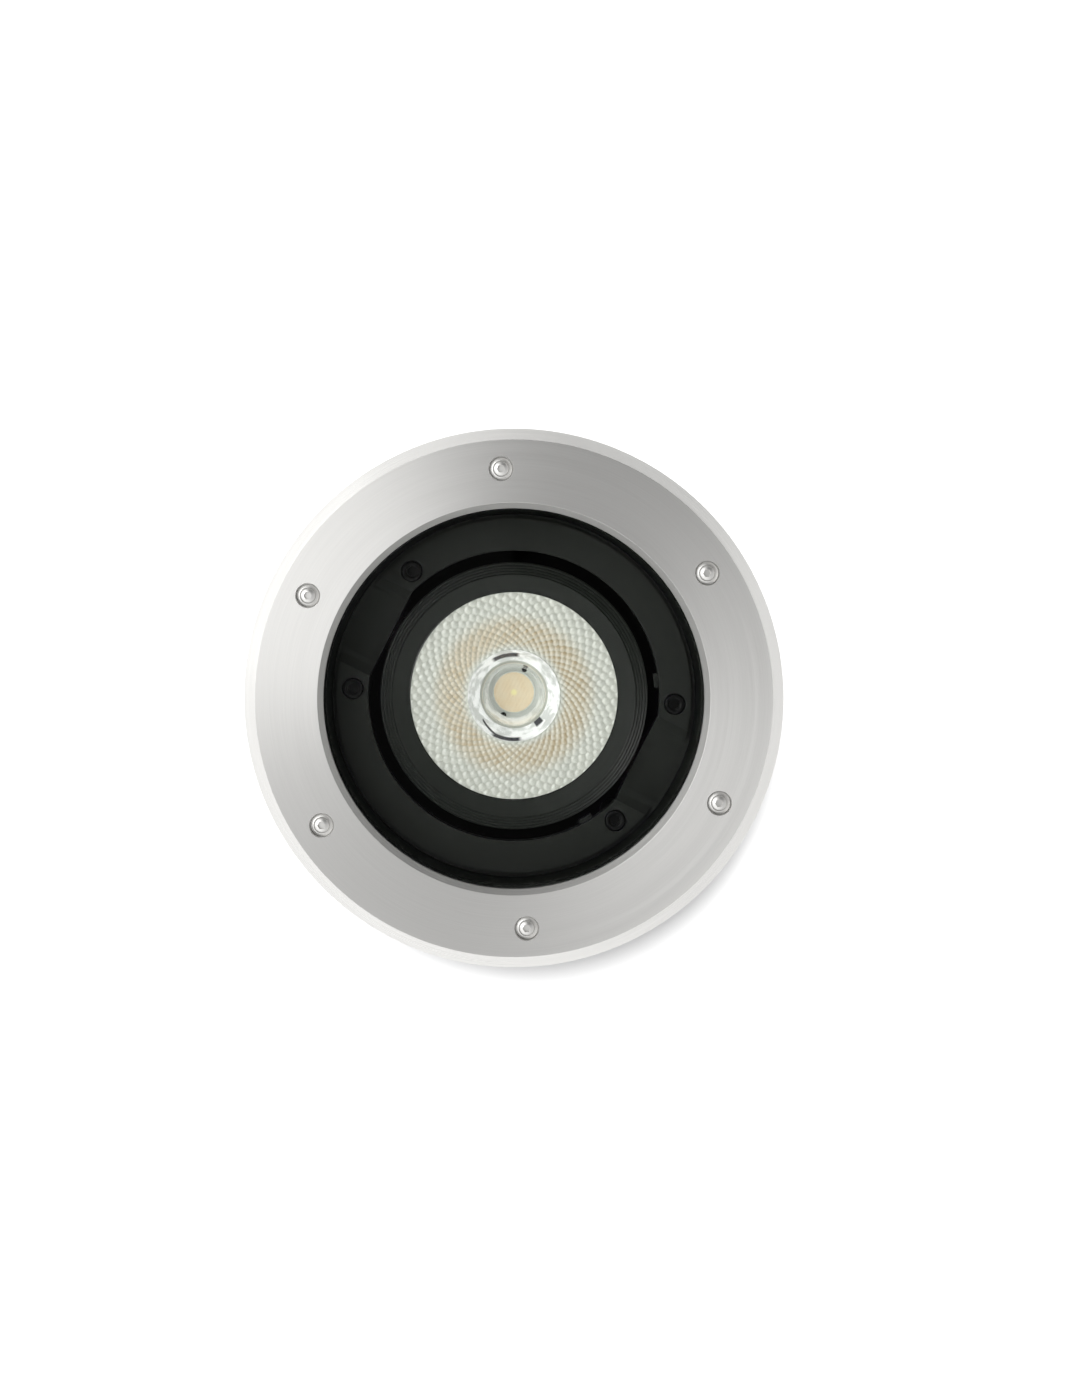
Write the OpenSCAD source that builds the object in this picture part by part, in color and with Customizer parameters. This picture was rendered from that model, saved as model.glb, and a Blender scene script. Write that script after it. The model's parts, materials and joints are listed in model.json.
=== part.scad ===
// Adjustable in-ground spotlight: a stainless rim over a thick glass, a cast body below ground,
// and a lamp head that tilts on two pivots behind the glass.
// The origin is the centre of the rim's underside, level with the ground. +Z is the way the light goes.
// The tilt axis runs along X.

/* [Rim] */
// Outside diameter of the stainless rim
rim_d = 230; // [224:1:240]
// Height of the rim's top face above the ground
rim_h = 5; // [4.6:0.1:7]
// Width of the sloping band round the rim's outside
rim_bevel_w = 4.9; // [3:0.1:6]
// Height of the upright edge below the sloping band
rim_edge_h = 1.3; // [0.8:0.1:2]
// Width of the sloping band round the opening
rim_chamfer = 2.4; // [1:0.1:2.8]
// How far the rim's underside is recessed over the body's flange
rim_recess = 0.5; // [0.4:0.1:1]
// How far the rim reaches past the body's flange
rim_overhang = 8; // [5:0.5:9]
// How far the rim covers the glass
rim_lip = 5.8; // [4:0.1:8]
// Number of rim screws
rim_screw_count = 6; // [4:1:8]

/* [Glass] */
// Thickness of the toughened glass
glass_t = 10; // [8:0.5:15]
// Width of the ledge that carries the glass
glass_seat_w = 6; // [5:0.5:7]
// Thickness of the gasket above the glass
gasket_top_t = 1; // [0.6:0.1:2]
// Thickness of the gasket below the glass
gasket_bottom_t = 1.5; // [1:0.1:3]
// Thickness of the gasket round the glass
gasket_side_t = 2; // [1.5:0.1:3]

/* [Lamp head] */
// Diameter of the optic's flange
optic_d = 95; // [90:0.5:99]
// Width of the black frame from the optic's flange out to the head's edge
frame_w = 10.9; // [9.5:0.1:13]
// Thickness of the optic's flange
optic_flange_t = 2.6; // [2:0.1:4]
// Depth of the optic from its face to the light source
optic_depth = 31; // [28:0.5:36]
// Diameter of the optic where it meets the light source
optic_rear_d = 26; // [24:0.5:30]
// Diameter of the well in the middle of the optic
well_d = 41; // [36:0.5:46]
// Depth of that well
well_depth = 13; // [9:0.5:15]
// Diameter of the small lens at the bottom of the well
well_lens_d = 28; // [22:0.5:30]
// How far the front ring covers the optic
front_lip_w = 2.2; // [1:0.1:3]
// Thickness of the front ring over the optic
front_lip_t = 2; // [1.5:0.1:3]
// Length of the front ring
front_ring_l = 10; // [9:0.5:12]
// Width of the front ring's sloping edge
front_slope_w = 4.4; // [3:0.1:6]
// Drop of the front ring's sloping edge
front_slope_h = 2.2; // [1:0.1:3]
// Number of fine grooves in that sloping edge
groove_count = 4; // [1:1:5]
// Thickness of the can's floor
can_floor_t = 5; // [4:0.5:8]
// Wall of the can
can_wall_t = 4.5; // [3.5:0.1:6]
// Diameter of the glowing disc of the light source
glow_d = 18; // [12:0.5:20]
// Side of the light source's square base
chip_side = 24; // [22:0.5:28]
// Thickness of the light source's square base
chip_t = 1.2; // [0.8:0.1:2]

/* [Heat sink] */
// Outside diameter of the heat sink
sink_d = 100; // [90:1:104]
// Thickness of the heat sink's base
sink_base_t = 6; // [5:0.5:9]
// Length of the cooling fins
fin_l = 34; // [25:1:45]
// Thickness of a cooling fin
fin_t = 2; // [1.5:0.1:3]
// Number of cooling fins
fin_count = 13; // [9:2:15]

/* [Tilt] */
// Tilt of the lamp head to either side, in degrees
tilt_limit = 15; // [8:1:16]
// Depth of the tilt axis below the head's face
pivot_depth = 21; // [20.5:0.5:24]
// Diameter of the pivot pins
pivot_d = 8; // [7:0.5:9]
// Wall of the pivot bushes
bush_wall = 1.5; // [1:0.1:2]
// Free height between the tilted head and the glass
glass_clear = 3.4; // [1.5:0.1:8]
// Gap between the head and the cradle ring
head_gap = 5.1; // [4.6:0.1:7]
// Thickness of the friction washers
friction_t = 1.5; // [1:0.1:2]

/* [Cradle ring] */
// Width of the raised pads of the cradle ring
pad_w = 13.8; // [13:0.1:16]
// Height of the raised pads
pad_h = 3; // [2:0.1:4]
// Height of the pads above the head's face
pad_rise = 1; // [0:0.1:3]
// Ledge outside the raised pads
cradle_ledge_w = 2; // [1:0.1:3]
// Thickness of the cradle ring below its pads
cradle_t = 5; // [4.5:0.1:7]
// Width of the two rounded channels across the cradle ring
channel_w = 40.8; // [36:0.2:43]
// Depth of those channels
channel_depth = 6.6; // [5:0.2:6.8]
// Angle between the tilt axis and a cradle screw, in degrees
cradle_screw_angle = 24; // [24:0.5:27]

/* [Body] */
// Wall of the cast body
wall_t = 4; // [3:0.1:6]
// Thickness of the body's flange
flange_t = 13.5; // [13:0.5:16]
// Widening of the cavity from the cradle ring up to the glass
cavity_draft = 1.4; // [0.5:0.1:3]
// Number of cooling ribs round the body
rib_count = 24; // [12:2:36]
// Height of a cooling rib
rib_h = 7; // [4:0.5:10]
// Thickness of a cooling rib
rib_t = 3; // [2:0.1:4]
// Thickness of the wall between the lamp's chamber and the driver's
bulkhead_t = 4; // [3:0.5:6]
// Inside diameter of the driver's chamber
chamber_d = 136; // [134:1:140]
// Height of the driver's chamber
chamber_h = 56; // [54:1:70]
// Width of the flange that the base cover is screwed to
base_flange_w = 8; // [8:0.5:12]
// Thickness of that flange
base_flange_t = 12; // [11:0.5:14]
// Thickness of the base cover
base_t = 8; // [7.5:0.5:12]
// Thickness of the base gasket
base_gasket_t = 1.5; // [1:0.1:3]
// Number of base cover screws
base_screw_count = 6; // [4:1:8]

/* [Driver] */
// Length of the LED driver
driver_l = 104; // [90:1:106]
// Width of the LED driver
driver_w = 56; // [50:1:60]
// Height of the LED driver
driver_h = 30; // [24:1:36]
// Thickness of the driver's bracket
bracket_t = 1.5; // [1:0.1:2]
// Width of the supply terminal block
terminal_w = 13; // [11:0.5:15]
// Height of the supply terminal block
terminal_h = 15; // [12:0.5:18]

/* [Cable entry] */
// Diameter of the cable that the gland takes
cable_d = 9; // [7:0.5:10]
// Diameter of the gland's thread
gland_d = 20; // [18:0.5:22]
// Height of the gland's axis above the base cover
gland_h = 32; // [31:0.5:34]
// Thickness of the wall that the gland is fixed to
gland_wall_t = 9; // [8:0.5:10]

/* [Screws] */
// Diameter of the rim and cradle screws
screw_d = 5; // [4:0.5:5]
// Length of a rim screw below its head
rim_screw_l = 12; // [8:0.5:12]
// Diameter of a rim screw's domed head
button_d = 9.5; // [8:0.1:10]
// Height of a rim screw's domed head
button_h = 2.75; // [2:0.05:3]
// Diameter of a cradle screw's head
cap_d = 8.5; // [8:0.1:9]
// Length of a cradle screw below its head
cradle_screw_l = 14; // [10:0.5:20]
// Diameter of the small screws
small_screw_d = 4; // [3:0.5:4]
// Diameter of a small screw's head
small_head_d = 7; // [6:0.1:7.2]

/* [Fits] */
// Running clearance of a pivot pin in its bush
run_fit = 0.05; // [0.02:0.01:0.09]
// Clearance round a screw in its thread
thread_fit = 0.05; // [0.02:0.01:0.1]
// Clearance round a screw in a plain hole
hole_fit = 0.25; // [0.1:0.05:0.5]
// Clearance of a loose seat
seat_fit = 0.3; // [0.1:0.05:0.5]
// Clearance round a screw head in its sinking
head_fit = 0.5; // [0.3:0.1:0.8]

/* [Hidden] */
$fn = 128;
eps = 0.01;

// Finishes
steel_colour = "silver";
black_colour = [0.13, 0.13, 0.14];
rubber_colour = [0.07, 0.07, 0.07];
nylon_colour = [0.2, 0.2, 0.21];

// Radii, from the lamp head outwards
optic_r = optic_d / 2;
head_r = optic_r + frame_w;
view_r = optic_r - front_lip_w;
pad_in_r = head_r + head_gap;
pad_out_r = pad_in_r + pad_w;
cradle_r = pad_out_r + cradle_ledge_w;
cavity_r = cradle_r + seat_fit;
mouth_r = cavity_r + cavity_draft;
glass_r = mouth_r + glass_seat_w;
pocket_r = glass_r + gasket_side_t;
rim_r = rim_d / 2;
flange_r = rim_r - rim_overhang;
rim_recess_r = flange_r + 1.5;
rim_bore_r = glass_r - rim_lip;
rim_screw_r = (pocket_r + flange_r) / 2;
gasket_in_r = rim_bore_r + 0.8;
body_r = cavity_r + wall_t;
collar_r = pocket_r + wall_t;
chamber_r = chamber_d / 2;
chamber_out_r = chamber_r + wall_t;
base_r = chamber_out_r + base_flange_w;
base_screw_r = chamber_out_r + base_flange_w / 2;

// Levels, from the ground downwards
flange_top_z = rim_recess;
glass_top_z = flange_top_z - gasket_top_t;
glass_bottom_z = glass_top_z - glass_t;
seat_z = glass_bottom_z - gasket_bottom_t;
flange_bottom_z = flange_top_z - flange_t;
collar_bottom_z = min(seat_z, flange_bottom_z) - wall_t;
face_z = glass_bottom_z - glass_clear - head_r * sin(tilt_limit) + pivot_depth * (1 - cos(tilt_limit));
pivot_z = face_z - pivot_depth;
pad_top_z = face_z + pad_rise;
ledge_z = pad_top_z - pad_h;
cradle_bottom_z = ledge_z - cradle_t;
optic_top_z = face_z - front_lip_t;
optic_seat_z = optic_top_z - optic_flange_t;
optic_bottom_z = optic_top_z - optic_depth;
can_floor_z = optic_bottom_z - chip_t - seat_fit;
can_bottom_z = can_floor_z - can_floor_t;
pad_t = 0.5;
sink_top_z = can_bottom_z - pad_t;
fin_top_z = sink_top_z - sink_base_t;
fin_bottom_z = fin_top_z - fin_l;
sink_r = sink_d / 2;
sweep_clear = 4;
bulkhead_z = pivot_z - (pivot_z - fin_bottom_z) * cos(tilt_limit) - sink_r * sin(tilt_limit) - sweep_clear;
chamber_top_z = bulkhead_z - bulkhead_t;
base_top_z = chamber_top_z - chamber_h;
base_z = base_top_z - base_t;
body_bottom_z = base_top_z + base_gasket_t;
gland_z = base_top_z + gland_h;

// Rim screws: the floor of their sinkings, and the bottom of their threaded holes
button_floor_z = rim_h - button_h - 0.1;
rim_thread_z = button_floor_z - rim_screw_l - 0.5;

// Cradle ring
channel_half = channel_w / 2;
channel_r = (channel_half * channel_half + channel_depth * channel_depth) / (2 * channel_depth);
saddle_x = sqrt(pad_in_r * pad_in_r - channel_half * channel_half);
saddle_t = 8.5;
saddle_out_x = saddle_x + saddle_t;
cradle_screw_r = (pad_in_r + pad_out_r) / 2 - 0.2;
cap_h = screw_d;
cap_rise = 0.6;
cap_floor_z = pad_top_z + cap_rise - cap_h;
cradle_boss_r = screw_d / 2 + 3;
cradle_boss_tail = 26;
cradle_boss_l = cradle_screw_l + cradle_boss_tail;
stop_angle = 33;
stop_w = 6;
stop_in_r = pad_in_r - 2;

// Pivots
pivot_r = pivot_d / 2;
bush_r = pivot_r + run_fit + bush_wall;
lug_r = bush_r + 3.5;
pivot_pad_wall = 5;
pivot_pad_r = pivot_r + pivot_pad_wall;
washer_out_r = pivot_pad_r - 0.5;
pin_head_r = pivot_r + 2.5;
pin_head_t = 2.5;
pin_end_x = saddle_out_x + pin_head_t;
pin_thread_r = pivot_r - 1;
pin_thread_l = 7;
lead_r = 1.5;
lead_bore_r = lead_r + 0.2;
lead_bend_r = 3.5;

// Lamp head
ring_wall_t = 4.7;
ring_thread_r = head_r - ring_wall_t;
optic_pocket_r = optic_r + seat_fit;
optic_neck_r = optic_r - 1;
optic_shoulder_r = optic_neck_r - seat_fit;
optic_clear = 1;
seal_t = 1;
neck_top_z = optic_seat_z - seal_t;
can_shoulder_z = face_z - front_ring_l;
can_chamber_r = head_r - can_wall_t;
can_chamber_top_z = can_shoulder_z - 3;
can_taper_z = pivot_z - pivot_pad_r - 1;
can_chamber_bottom_z = can_taper_z + 1;
pivot_block_back = 5;
pivot_block_x = head_r - pin_thread_l - pivot_block_back;
chip_holder_t = 4;
holder_top_z = can_floor_z + chip_holder_t;
holder_opening_r = optic_back_r(holder_top_z) + optic_clear;
holder_screw_d = 3;
holder_head_d = 5;
holder_head_h = 2;
holder_screw_x = optic_back_r(holder_top_z + holder_head_h) + optic_clear + holder_head_d / 2;
holder_edge = 3;
chip_holder_r = holder_screw_x + holder_edge;
holder_screw_l = chip_holder_t + can_floor_t - 2;
sink_screw_r = 33;
sink_screw_count = 4;
sink_screw_l = can_floor_t + pad_t + sink_base_t - 1.5;
small_head_h = 2.4;
fin_pitch = (sink_d - 10) / (fin_count - 1);

// Driver chamber
driver_z = base_top_z + bracket_t;
driver_ear = 8;
driver_ear_w = 40;
driver_screw_x = driver_l / 2 + driver_ear / 2;
driver_screw_y = driver_ear_w / 2 - 5;
driver_screw_l = 6;
grommet_hole_r = lead_r + 2.7;
grommet_r = grommet_hole_r + 1.6;
grommet_lip_t = 1.2;
grommet_x = chamber_r - grommet_r - 2;
lead_x = cradle_r - lead_r - 0.4;
lead_turn_z = bulkhead_z + grommet_lip_t + lead_bend_r + 3;
driver_lead_z = driver_z + driver_h / 2;
terminal_l = 30;
terminal_y = -driver_w / 2 - 6 - terminal_w / 2;
terminal_screw_d = 3.5;
wire_r = 1.1;
wire_pitch = 9;
wire_count = 3;
wire_z = base_top_z + terminal_h / 2;
earth_inset = 20;
earth_y = chamber_r - earth_inset;

// Cable gland and vent plug, both measured outwards from the flat faces of their bosses
boss_face_y = chamber_out_r + 2;
gland_r = gland_d / 2;
gland_boss_r = gland_r + 5;
gland_hex_d = (gland_d + 5) / cos(30);
gland_flange_t = 6;
gland_washer_t = 1.2;
gland_thread_l = 12;
gland_nut_l = 16;
nut_gap = 0.8;
locknut_t = 5;
seal_wall = 2;
seal_bore_r = cable_d / 2 + 0.1;
gland_bore_r = seal_bore_r + seal_wall;
seal_l = 10;
nut_wall_t = 2.4;
vent_r = 6;
vent_head_r = vent_r + 3;
vent_head_t = 5;
vent_boss_r = vent_head_r + 2;

// Radius of the optic's curved back at a level
function optic_back_r(z) =
    let (share = max(0, z - optic_bottom_z) / (optic_seat_z - optic_bottom_z))
    optic_rear_d / 2 + (optic_shoulder_r - optic_rear_d / 2) * pow(share, 0.8);

module turned(outline) rotate_extrude() polygon(outline);

module tube(outer, inner, h) {
    difference() {
        cylinder(r = outer, h = h);
        translate([0, 0, -eps]) cylinder(r = inner, h = h + 2 * eps);
    }
}

// A disc with its two outer edges broken
module disc(r, h, edge) {
    turned([[0, 0], [r - edge, 0], [r, edge], [r, h - edge], [r - edge, h], [0, h]]);
}

// Copies round Z, at a radius, with every child's X pointing outwards
module around(count, radius, first = 0) {
    for (i = [0:count - 1]) rotate(first + i * 360 / count) translate([radius, 0, 0]) children();
}

// The four cradle screw places, on either side of each end of the tilt axis
module at_cradle_screws() {
    for (end = [0, 180], side = [-1, 1])
        rotate(end + side * cradle_screw_angle) translate([cradle_screw_r, 0, 0]) children();
}

module at_driver_screws() {
    for (x = [-driver_screw_x, driver_screw_x], y = [-driver_screw_y, driver_screw_y])
        translate([x, y, 0]) children();
}

module both_ends() {
    children();
    rotate(180) children();
}

// Turns a child's Z along X, at the level of the tilt axis
module on_pivot(x) {
    translate([x, 0, pivot_z]) rotate([0, 90, 0]) children();
}

// Turns a child's Z outwards through the wall, from the face of the gland's boss
module at_gland() {
    translate([0, -boss_face_y, gland_z]) rotate([90, 0, 0]) children();
}

module at_vent() {
    translate([0, boss_face_y, gland_z]) rotate([-90, 0, 0]) children();
}

// A hexagonal socket, sunk from the top of a head at z = 0
module hex_socket(across_flats, depth) {
    translate([0, 0, -depth]) cylinder(d = across_flats / cos(30), h = depth + eps, $fn = 6);
}

// Domed screw: its head stands on z = 0 and its shank points down
module button_screw(d, l, head_d, head_h) {
    land_r = 0.3 * head_d;
    edge_h = 0.3;
    steps = 5;
    dome = [for (i = [0:steps]) let (a = 90 * i / steps)
        [land_r + (head_d / 2 - land_r) * cos(a), edge_h + (head_h - edge_h) * sin(a)]];
    difference() {
        turned(concat([[0, -l], [d / 2 - 0.4, -l], [d / 2, 0.4 - l], [d / 2, 0], [head_d / 2, 0]],
            dome, [[0, head_h]]));
        translate([0, 0, head_h]) hex_socket(0.6 * d, 0.6 * head_h);
    }
}

// Cap screw: its head stands on z = 0 and its shank points down
module cap_screw(d, l, head_d, head_h) {
    edge = 0.4;
    difference() {
        turned([[0, -l], [d / 2 - edge, -l], [d / 2, edge - l], [d / 2, 0], [head_d / 2, 0],
            [head_d / 2, head_h - edge], [head_d / 2 - edge, head_h], [0, head_h]]);
        translate([0, 0, head_h]) hex_socket(0.55 * head_d, 0.5 * head_h);
    }
}

// The centreline of a lead through points, with each of its square bends turned to one radius
function lead_line(points, bend, steps = 6) =
    let (last = len(points) - 1)
    concat(
        [points[0]],
        [for (i = [1:last - 1], k = [0:steps])
            let (
                before = (points[i] - points[i - 1]) / norm(points[i] - points[i - 1]),
                after = (points[i + 1] - points[i]) / norm(points[i + 1] - points[i]),
                a = 90 * k / steps
            )
            points[i] - bend * (1 - sin(a)) * before + bend * (1 - cos(a)) * after],
        [points[last]]
    );

// A round lead in the XZ plane, swept along its centreline
module lead_run(points, r, bend) {
    sides = 12;
    line = lead_line(points, bend);
    last = len(line) - 1;
    rings = [for (i = [0:last])
        let (
            d = line[min(i + 1, last)] - line[max(i - 1, 0)],
            across = [-d[1], d[0]] / norm(d)
        )
        for (k = [0:sides - 1]) let (a = 360 * k / sides)
            [line[i][0] + r * cos(a) * across[0], r * sin(a), line[i][1] + r * cos(a) * across[1]]];
    polyhedron(rings, concat(
        [[for (k = [0:sides - 1]) sides - 1 - k]],
        [for (i = [0:last - 1], k = [0:sides - 1])
            let (a = i * sides + k, b = i * sides + (k + 1) % sides)
            each [[a, b, a + sides], [b, b + sides, a + sides]]],
        [[for (k = [0:sides - 1]) last * sides + k]]
    ));
}

module rim() {
    color(steel_colour) difference() {
        turned([
            [rim_bore_r, rim_recess], [rim_recess_r, rim_recess], [rim_recess_r, 0], [rim_r, 0],
            [rim_r, rim_edge_h], [rim_r - rim_bevel_w, rim_h], [rim_bore_r + rim_chamfer, rim_h],
            [rim_bore_r, rim_h - rim_chamfer]
        ]);
        around(rim_screw_count, rim_screw_r) {
            translate([0, 0, button_floor_z]) cylinder(d = button_d + 2 * head_fit, h = rim_h);
            cylinder(d = screw_d + 2 * hole_fit, h = rim_h);
        }
    }
}

module rim_screws() {
    color("gainsboro") around(rim_screw_count, rim_screw_r) translate([0, 0, button_floor_z])
        button_screw(screw_d, rim_screw_l, button_d, button_h);
}

module glass() {
    color([0.8, 0.88, 0.86, 0.35]) translate([0, 0, glass_bottom_z]) disc(glass_r, glass_t, 0.6);
}

module glass_gasket() {
    color(rubber_colour) turned([
        [gasket_in_r, seat_z], [pocket_r, seat_z], [pocket_r, flange_top_z],
        [gasket_in_r, flange_top_z], [gasket_in_r, glass_top_z], [glass_r, glass_top_z],
        [glass_r, glass_bottom_z], [gasket_in_r, glass_bottom_z]
    ]);
}

module body_shell() {
    shoulder = collar_r - body_r;
    foot_z = body_bottom_z + base_flange_t;
    turned([
        [pocket_r, flange_top_z], [flange_r, flange_top_z], [flange_r, flange_bottom_z],
        [collar_r, flange_bottom_z], [collar_r, collar_bottom_z], [body_r, collar_bottom_z - shoulder],
        [body_r, chamber_top_z + 2], [body_r - 2, chamber_top_z], [chamber_out_r, chamber_top_z],
        [chamber_out_r, foot_z], [base_r, foot_z], [base_r, body_bottom_z],
        [chamber_r, body_bottom_z], [chamber_r, chamber_top_z], [0, chamber_top_z], [0, bulkhead_z],
        [cavity_r, bulkhead_z], [cavity_r, ledge_z], [mouth_r, seat_z], [pocket_r, seat_z]
    ]);
}

// One cooling rib, reaching outwards from the wall at x = 0
module rib() {
    top = collar_bottom_z + eps;
    root = -wall_t / 2;
    rotate([90, 0, 0]) translate([0, 0, -rib_t / 2]) linear_extrude(rib_t) polygon([
        [root, top], [min(rib_h, collar_r - body_r), top], [rib_h, top - rib_h],
        [rib_h, chamber_top_z + rib_h], [root, chamber_top_z + 2]
    ]);
}

// One post that a cradle screw threads into, joined to the wall along its length
module cradle_boss() {
    translate([0, 0, cradle_bottom_z - cradle_boss_l]) {
        cylinder(r = cradle_boss_r, h = cradle_boss_l);
        translate([0, -cradle_boss_r, 0])
            cube([cavity_r + wall_t / 2 - cradle_screw_r, 2 * cradle_boss_r, cradle_boss_l]);
    }
}

module wall_boss(r) {
    translate([0, 0, -gland_wall_t]) cylinder(r = r, h = gland_wall_t);
}

module body() {
    color(black_colour) difference() {
        union() {
            body_shell();
            around(rib_count, body_r, 180 / rib_count) rib();
            at_cradle_screws() cradle_boss();
            at_gland() wall_boss(gland_boss_r);
            at_vent() wall_boss(vent_boss_r);
        }
        around(rim_screw_count, rim_screw_r) translate([0, 0, rim_thread_z])
            cylinder(r = screw_d / 2 + thread_fit, h = flange_top_z - rim_thread_z + 1);
        at_cradle_screws() translate([0, 0, cap_floor_z - cradle_screw_l - 1])
            cylinder(r = screw_d / 2 + thread_fit, h = cradle_screw_l + 1);
        around(base_screw_count, base_screw_r) translate([0, 0, body_bottom_z - 1])
            cylinder(r = small_screw_d / 2 + thread_fit, h = base_flange_t - 1);
        translate([grommet_x, 0, chamber_top_z - 1]) cylinder(r = grommet_hole_r, h = bulkhead_t + 2);
        at_gland() translate([0, 0, -gland_wall_t - 1])
            cylinder(r = gland_r + thread_fit, h = gland_wall_t + 2);
        at_vent() translate([0, 0, -gland_wall_t - 1])
            cylinder(r = vent_r + thread_fit, h = gland_wall_t + 2);
    }
}

// A lug under the cradle ring that holds a pivot bush
module lug() {
    translate([saddle_x, 0, 0]) rotate([90, 0, 90]) linear_extrude(saddle_t) union() {
        translate([0, pivot_z]) circle(r = lug_r);
        polygon([
            [-channel_half, ledge_z - 1], [-channel_half, cradle_bottom_z], [-lug_r, pivot_z],
            [lug_r, pivot_z], [channel_half, cradle_bottom_z], [channel_half, ledge_z - 1]
        ]);
    }
}

// A small lug in the gap round the head, beside the pivot
module stop() {
    translate([stop_in_r, -stop_w / 2, cradle_bottom_z])
        cube([pad_in_r - stop_in_r + 1, stop_w, cradle_t]);
}

module cradle_ring() {
    color(black_colour) difference() {
        union() {
            difference() {
                union() {
                    translate([0, 0, cradle_bottom_z]) cylinder(r = cradle_r, h = cradle_t);
                    translate([0, 0, ledge_z - eps]) cylinder(r = pad_out_r, h = pad_h + eps);
                }
                intersection() {
                    translate([0, 0, cradle_bottom_z - 1])
                        cylinder(r = pad_in_r, h = cradle_t + pad_h + 2);
                    translate([-saddle_x, -cradle_r, cradle_bottom_z - 2])
                        cube([2 * saddle_x, 2 * cradle_r, cradle_t + pad_h + 4]);
                }
            }
            both_ends() lug();
            for (a = [-stop_angle, stop_angle]) rotate(a) stop();
        }
        translate([-cradle_r - 1, 0, pad_top_z - channel_depth + channel_r])
            rotate([0, 90, 0]) cylinder(r = channel_r, h = 2 * cradle_r + 2);
        both_ends() on_pivot(saddle_x - 1) cylinder(r = bush_r, h = saddle_t + 2);
        at_cradle_screws() {
            translate([0, 0, cap_floor_z]) cylinder(r = cap_d / 2 + head_fit, h = cap_h + 1);
            translate([0, 0, cradle_bottom_z - 1]) cylinder(r = screw_d / 2 + hole_fit, h = cradle_t + 1);
        }
    }
}

module cradle_screws() {
    color(black_colour) at_cradle_screws() translate([0, 0, cap_floor_z])
        cap_screw(screw_d, cradle_screw_l, cap_d, cap_h);
}

module pivot_bushes() {
    color("tan") both_ends() on_pivot(saddle_x) tube(bush_r, pivot_r + run_fit, saddle_t);
}

// Shoulder screw: a head outside the lug, a round pivot in the bush and a thread in the can
module pivot_pin() {
    on_pivot(0) difference() {
        union() {
            translate([0, 0, saddle_out_x + seat_fit]) cylinder(r = pin_head_r, h = pin_head_t);
            translate([0, 0, head_r]) cylinder(r = pivot_r, h = saddle_out_x + seat_fit - head_r + eps);
            translate([0, 0, head_r - pin_thread_l]) cylinder(r = pin_thread_r, h = pin_thread_l + eps);
        }
        translate([0, 0, head_r - pin_thread_l - 1])
            cylinder(r = lead_bore_r, h = pin_thread_l + pin_end_x - head_r + 3);
    }
}

module pivot_pins() {
    color("silver") both_ends() pivot_pin();
}

module friction_washers() {
    color("peru") both_ends() on_pivot(head_r) tube(washer_out_r, pivot_r + run_fit, friction_t);
}

// The outline of the sloping edge with its grooves, from its inner end outwards
function grooved_slope() =
    let (groove_w = front_slope_w / (2 * groove_count + 1), groove_depth = 0.35)
    [for (i = [0:groove_count - 1], p = [[0, 0], [0, 1], [1, 1], [1, 0]])
        let (x = (2 * i + 1 + p[0]) * groove_w, drop = front_slope_h * x / front_slope_w)
        [head_r - front_slope_w + x, face_z - drop - p[1] * groove_depth]];

module front_ring() {
    color(black_colour) turned(concat(
        [[view_r, optic_top_z], [view_r, face_z - 0.8], [view_r + 0.8, face_z],
            [head_r - front_slope_w, face_z]],
        grooved_slope(),
        [[head_r, face_z - front_slope_h], [head_r, can_shoulder_z], [ring_thread_r, can_shoulder_z],
            [ring_thread_r, neck_top_z], [optic_pocket_r, neck_top_z], [optic_pocket_r, optic_top_z]]
    ));
}

// Half of the optic's section: flange, curved back, source pocket, and the well with its small lens
function optic_outline() =
    let (
        steps = 12,
        pocket_r = glow_d / 2 + 1,
        pocket_h = 2.5,
        lens_r = well_lens_d / 2,
        lens_rise = 4
    )
    concat(
        [[0, optic_bottom_z + pocket_h], [pocket_r - 1, optic_bottom_z + pocket_h],
            [pocket_r, optic_bottom_z]],
        [for (i = [0:steps]) let (z = optic_bottom_z + (optic_seat_z - optic_bottom_z) * i / steps)
            [optic_back_r(z), z]],
        [[optic_r, optic_seat_z], [optic_r, optic_top_z], [well_d / 2, optic_top_z],
            [lens_r + 1, optic_top_z - well_depth]],
        [for (i = [0:steps]) let (a = 90 * i / steps)
            [lens_r * cos(a), optic_top_z - well_depth + lens_rise * sin(a)]]
    );

module optic() {
    color([0.88, 0.88, 0.78, 0.6]) turned(optic_outline());
}

module optic_seal() {
    color(rubber_colour) translate([0, 0, neck_top_z]) tube(optic_pocket_r - 0.1, optic_neck_r, seal_t);
}

// The block inside the can's wall that a pivot pin threads into
module pivot_block() {
    translate([pivot_block_x, -pivot_pad_r, can_chamber_bottom_z - 1])
        cube([can_chamber_r - pivot_block_x + 1, 2 * pivot_pad_r,
            can_chamber_top_z - can_chamber_bottom_z + 2]);
}

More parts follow.
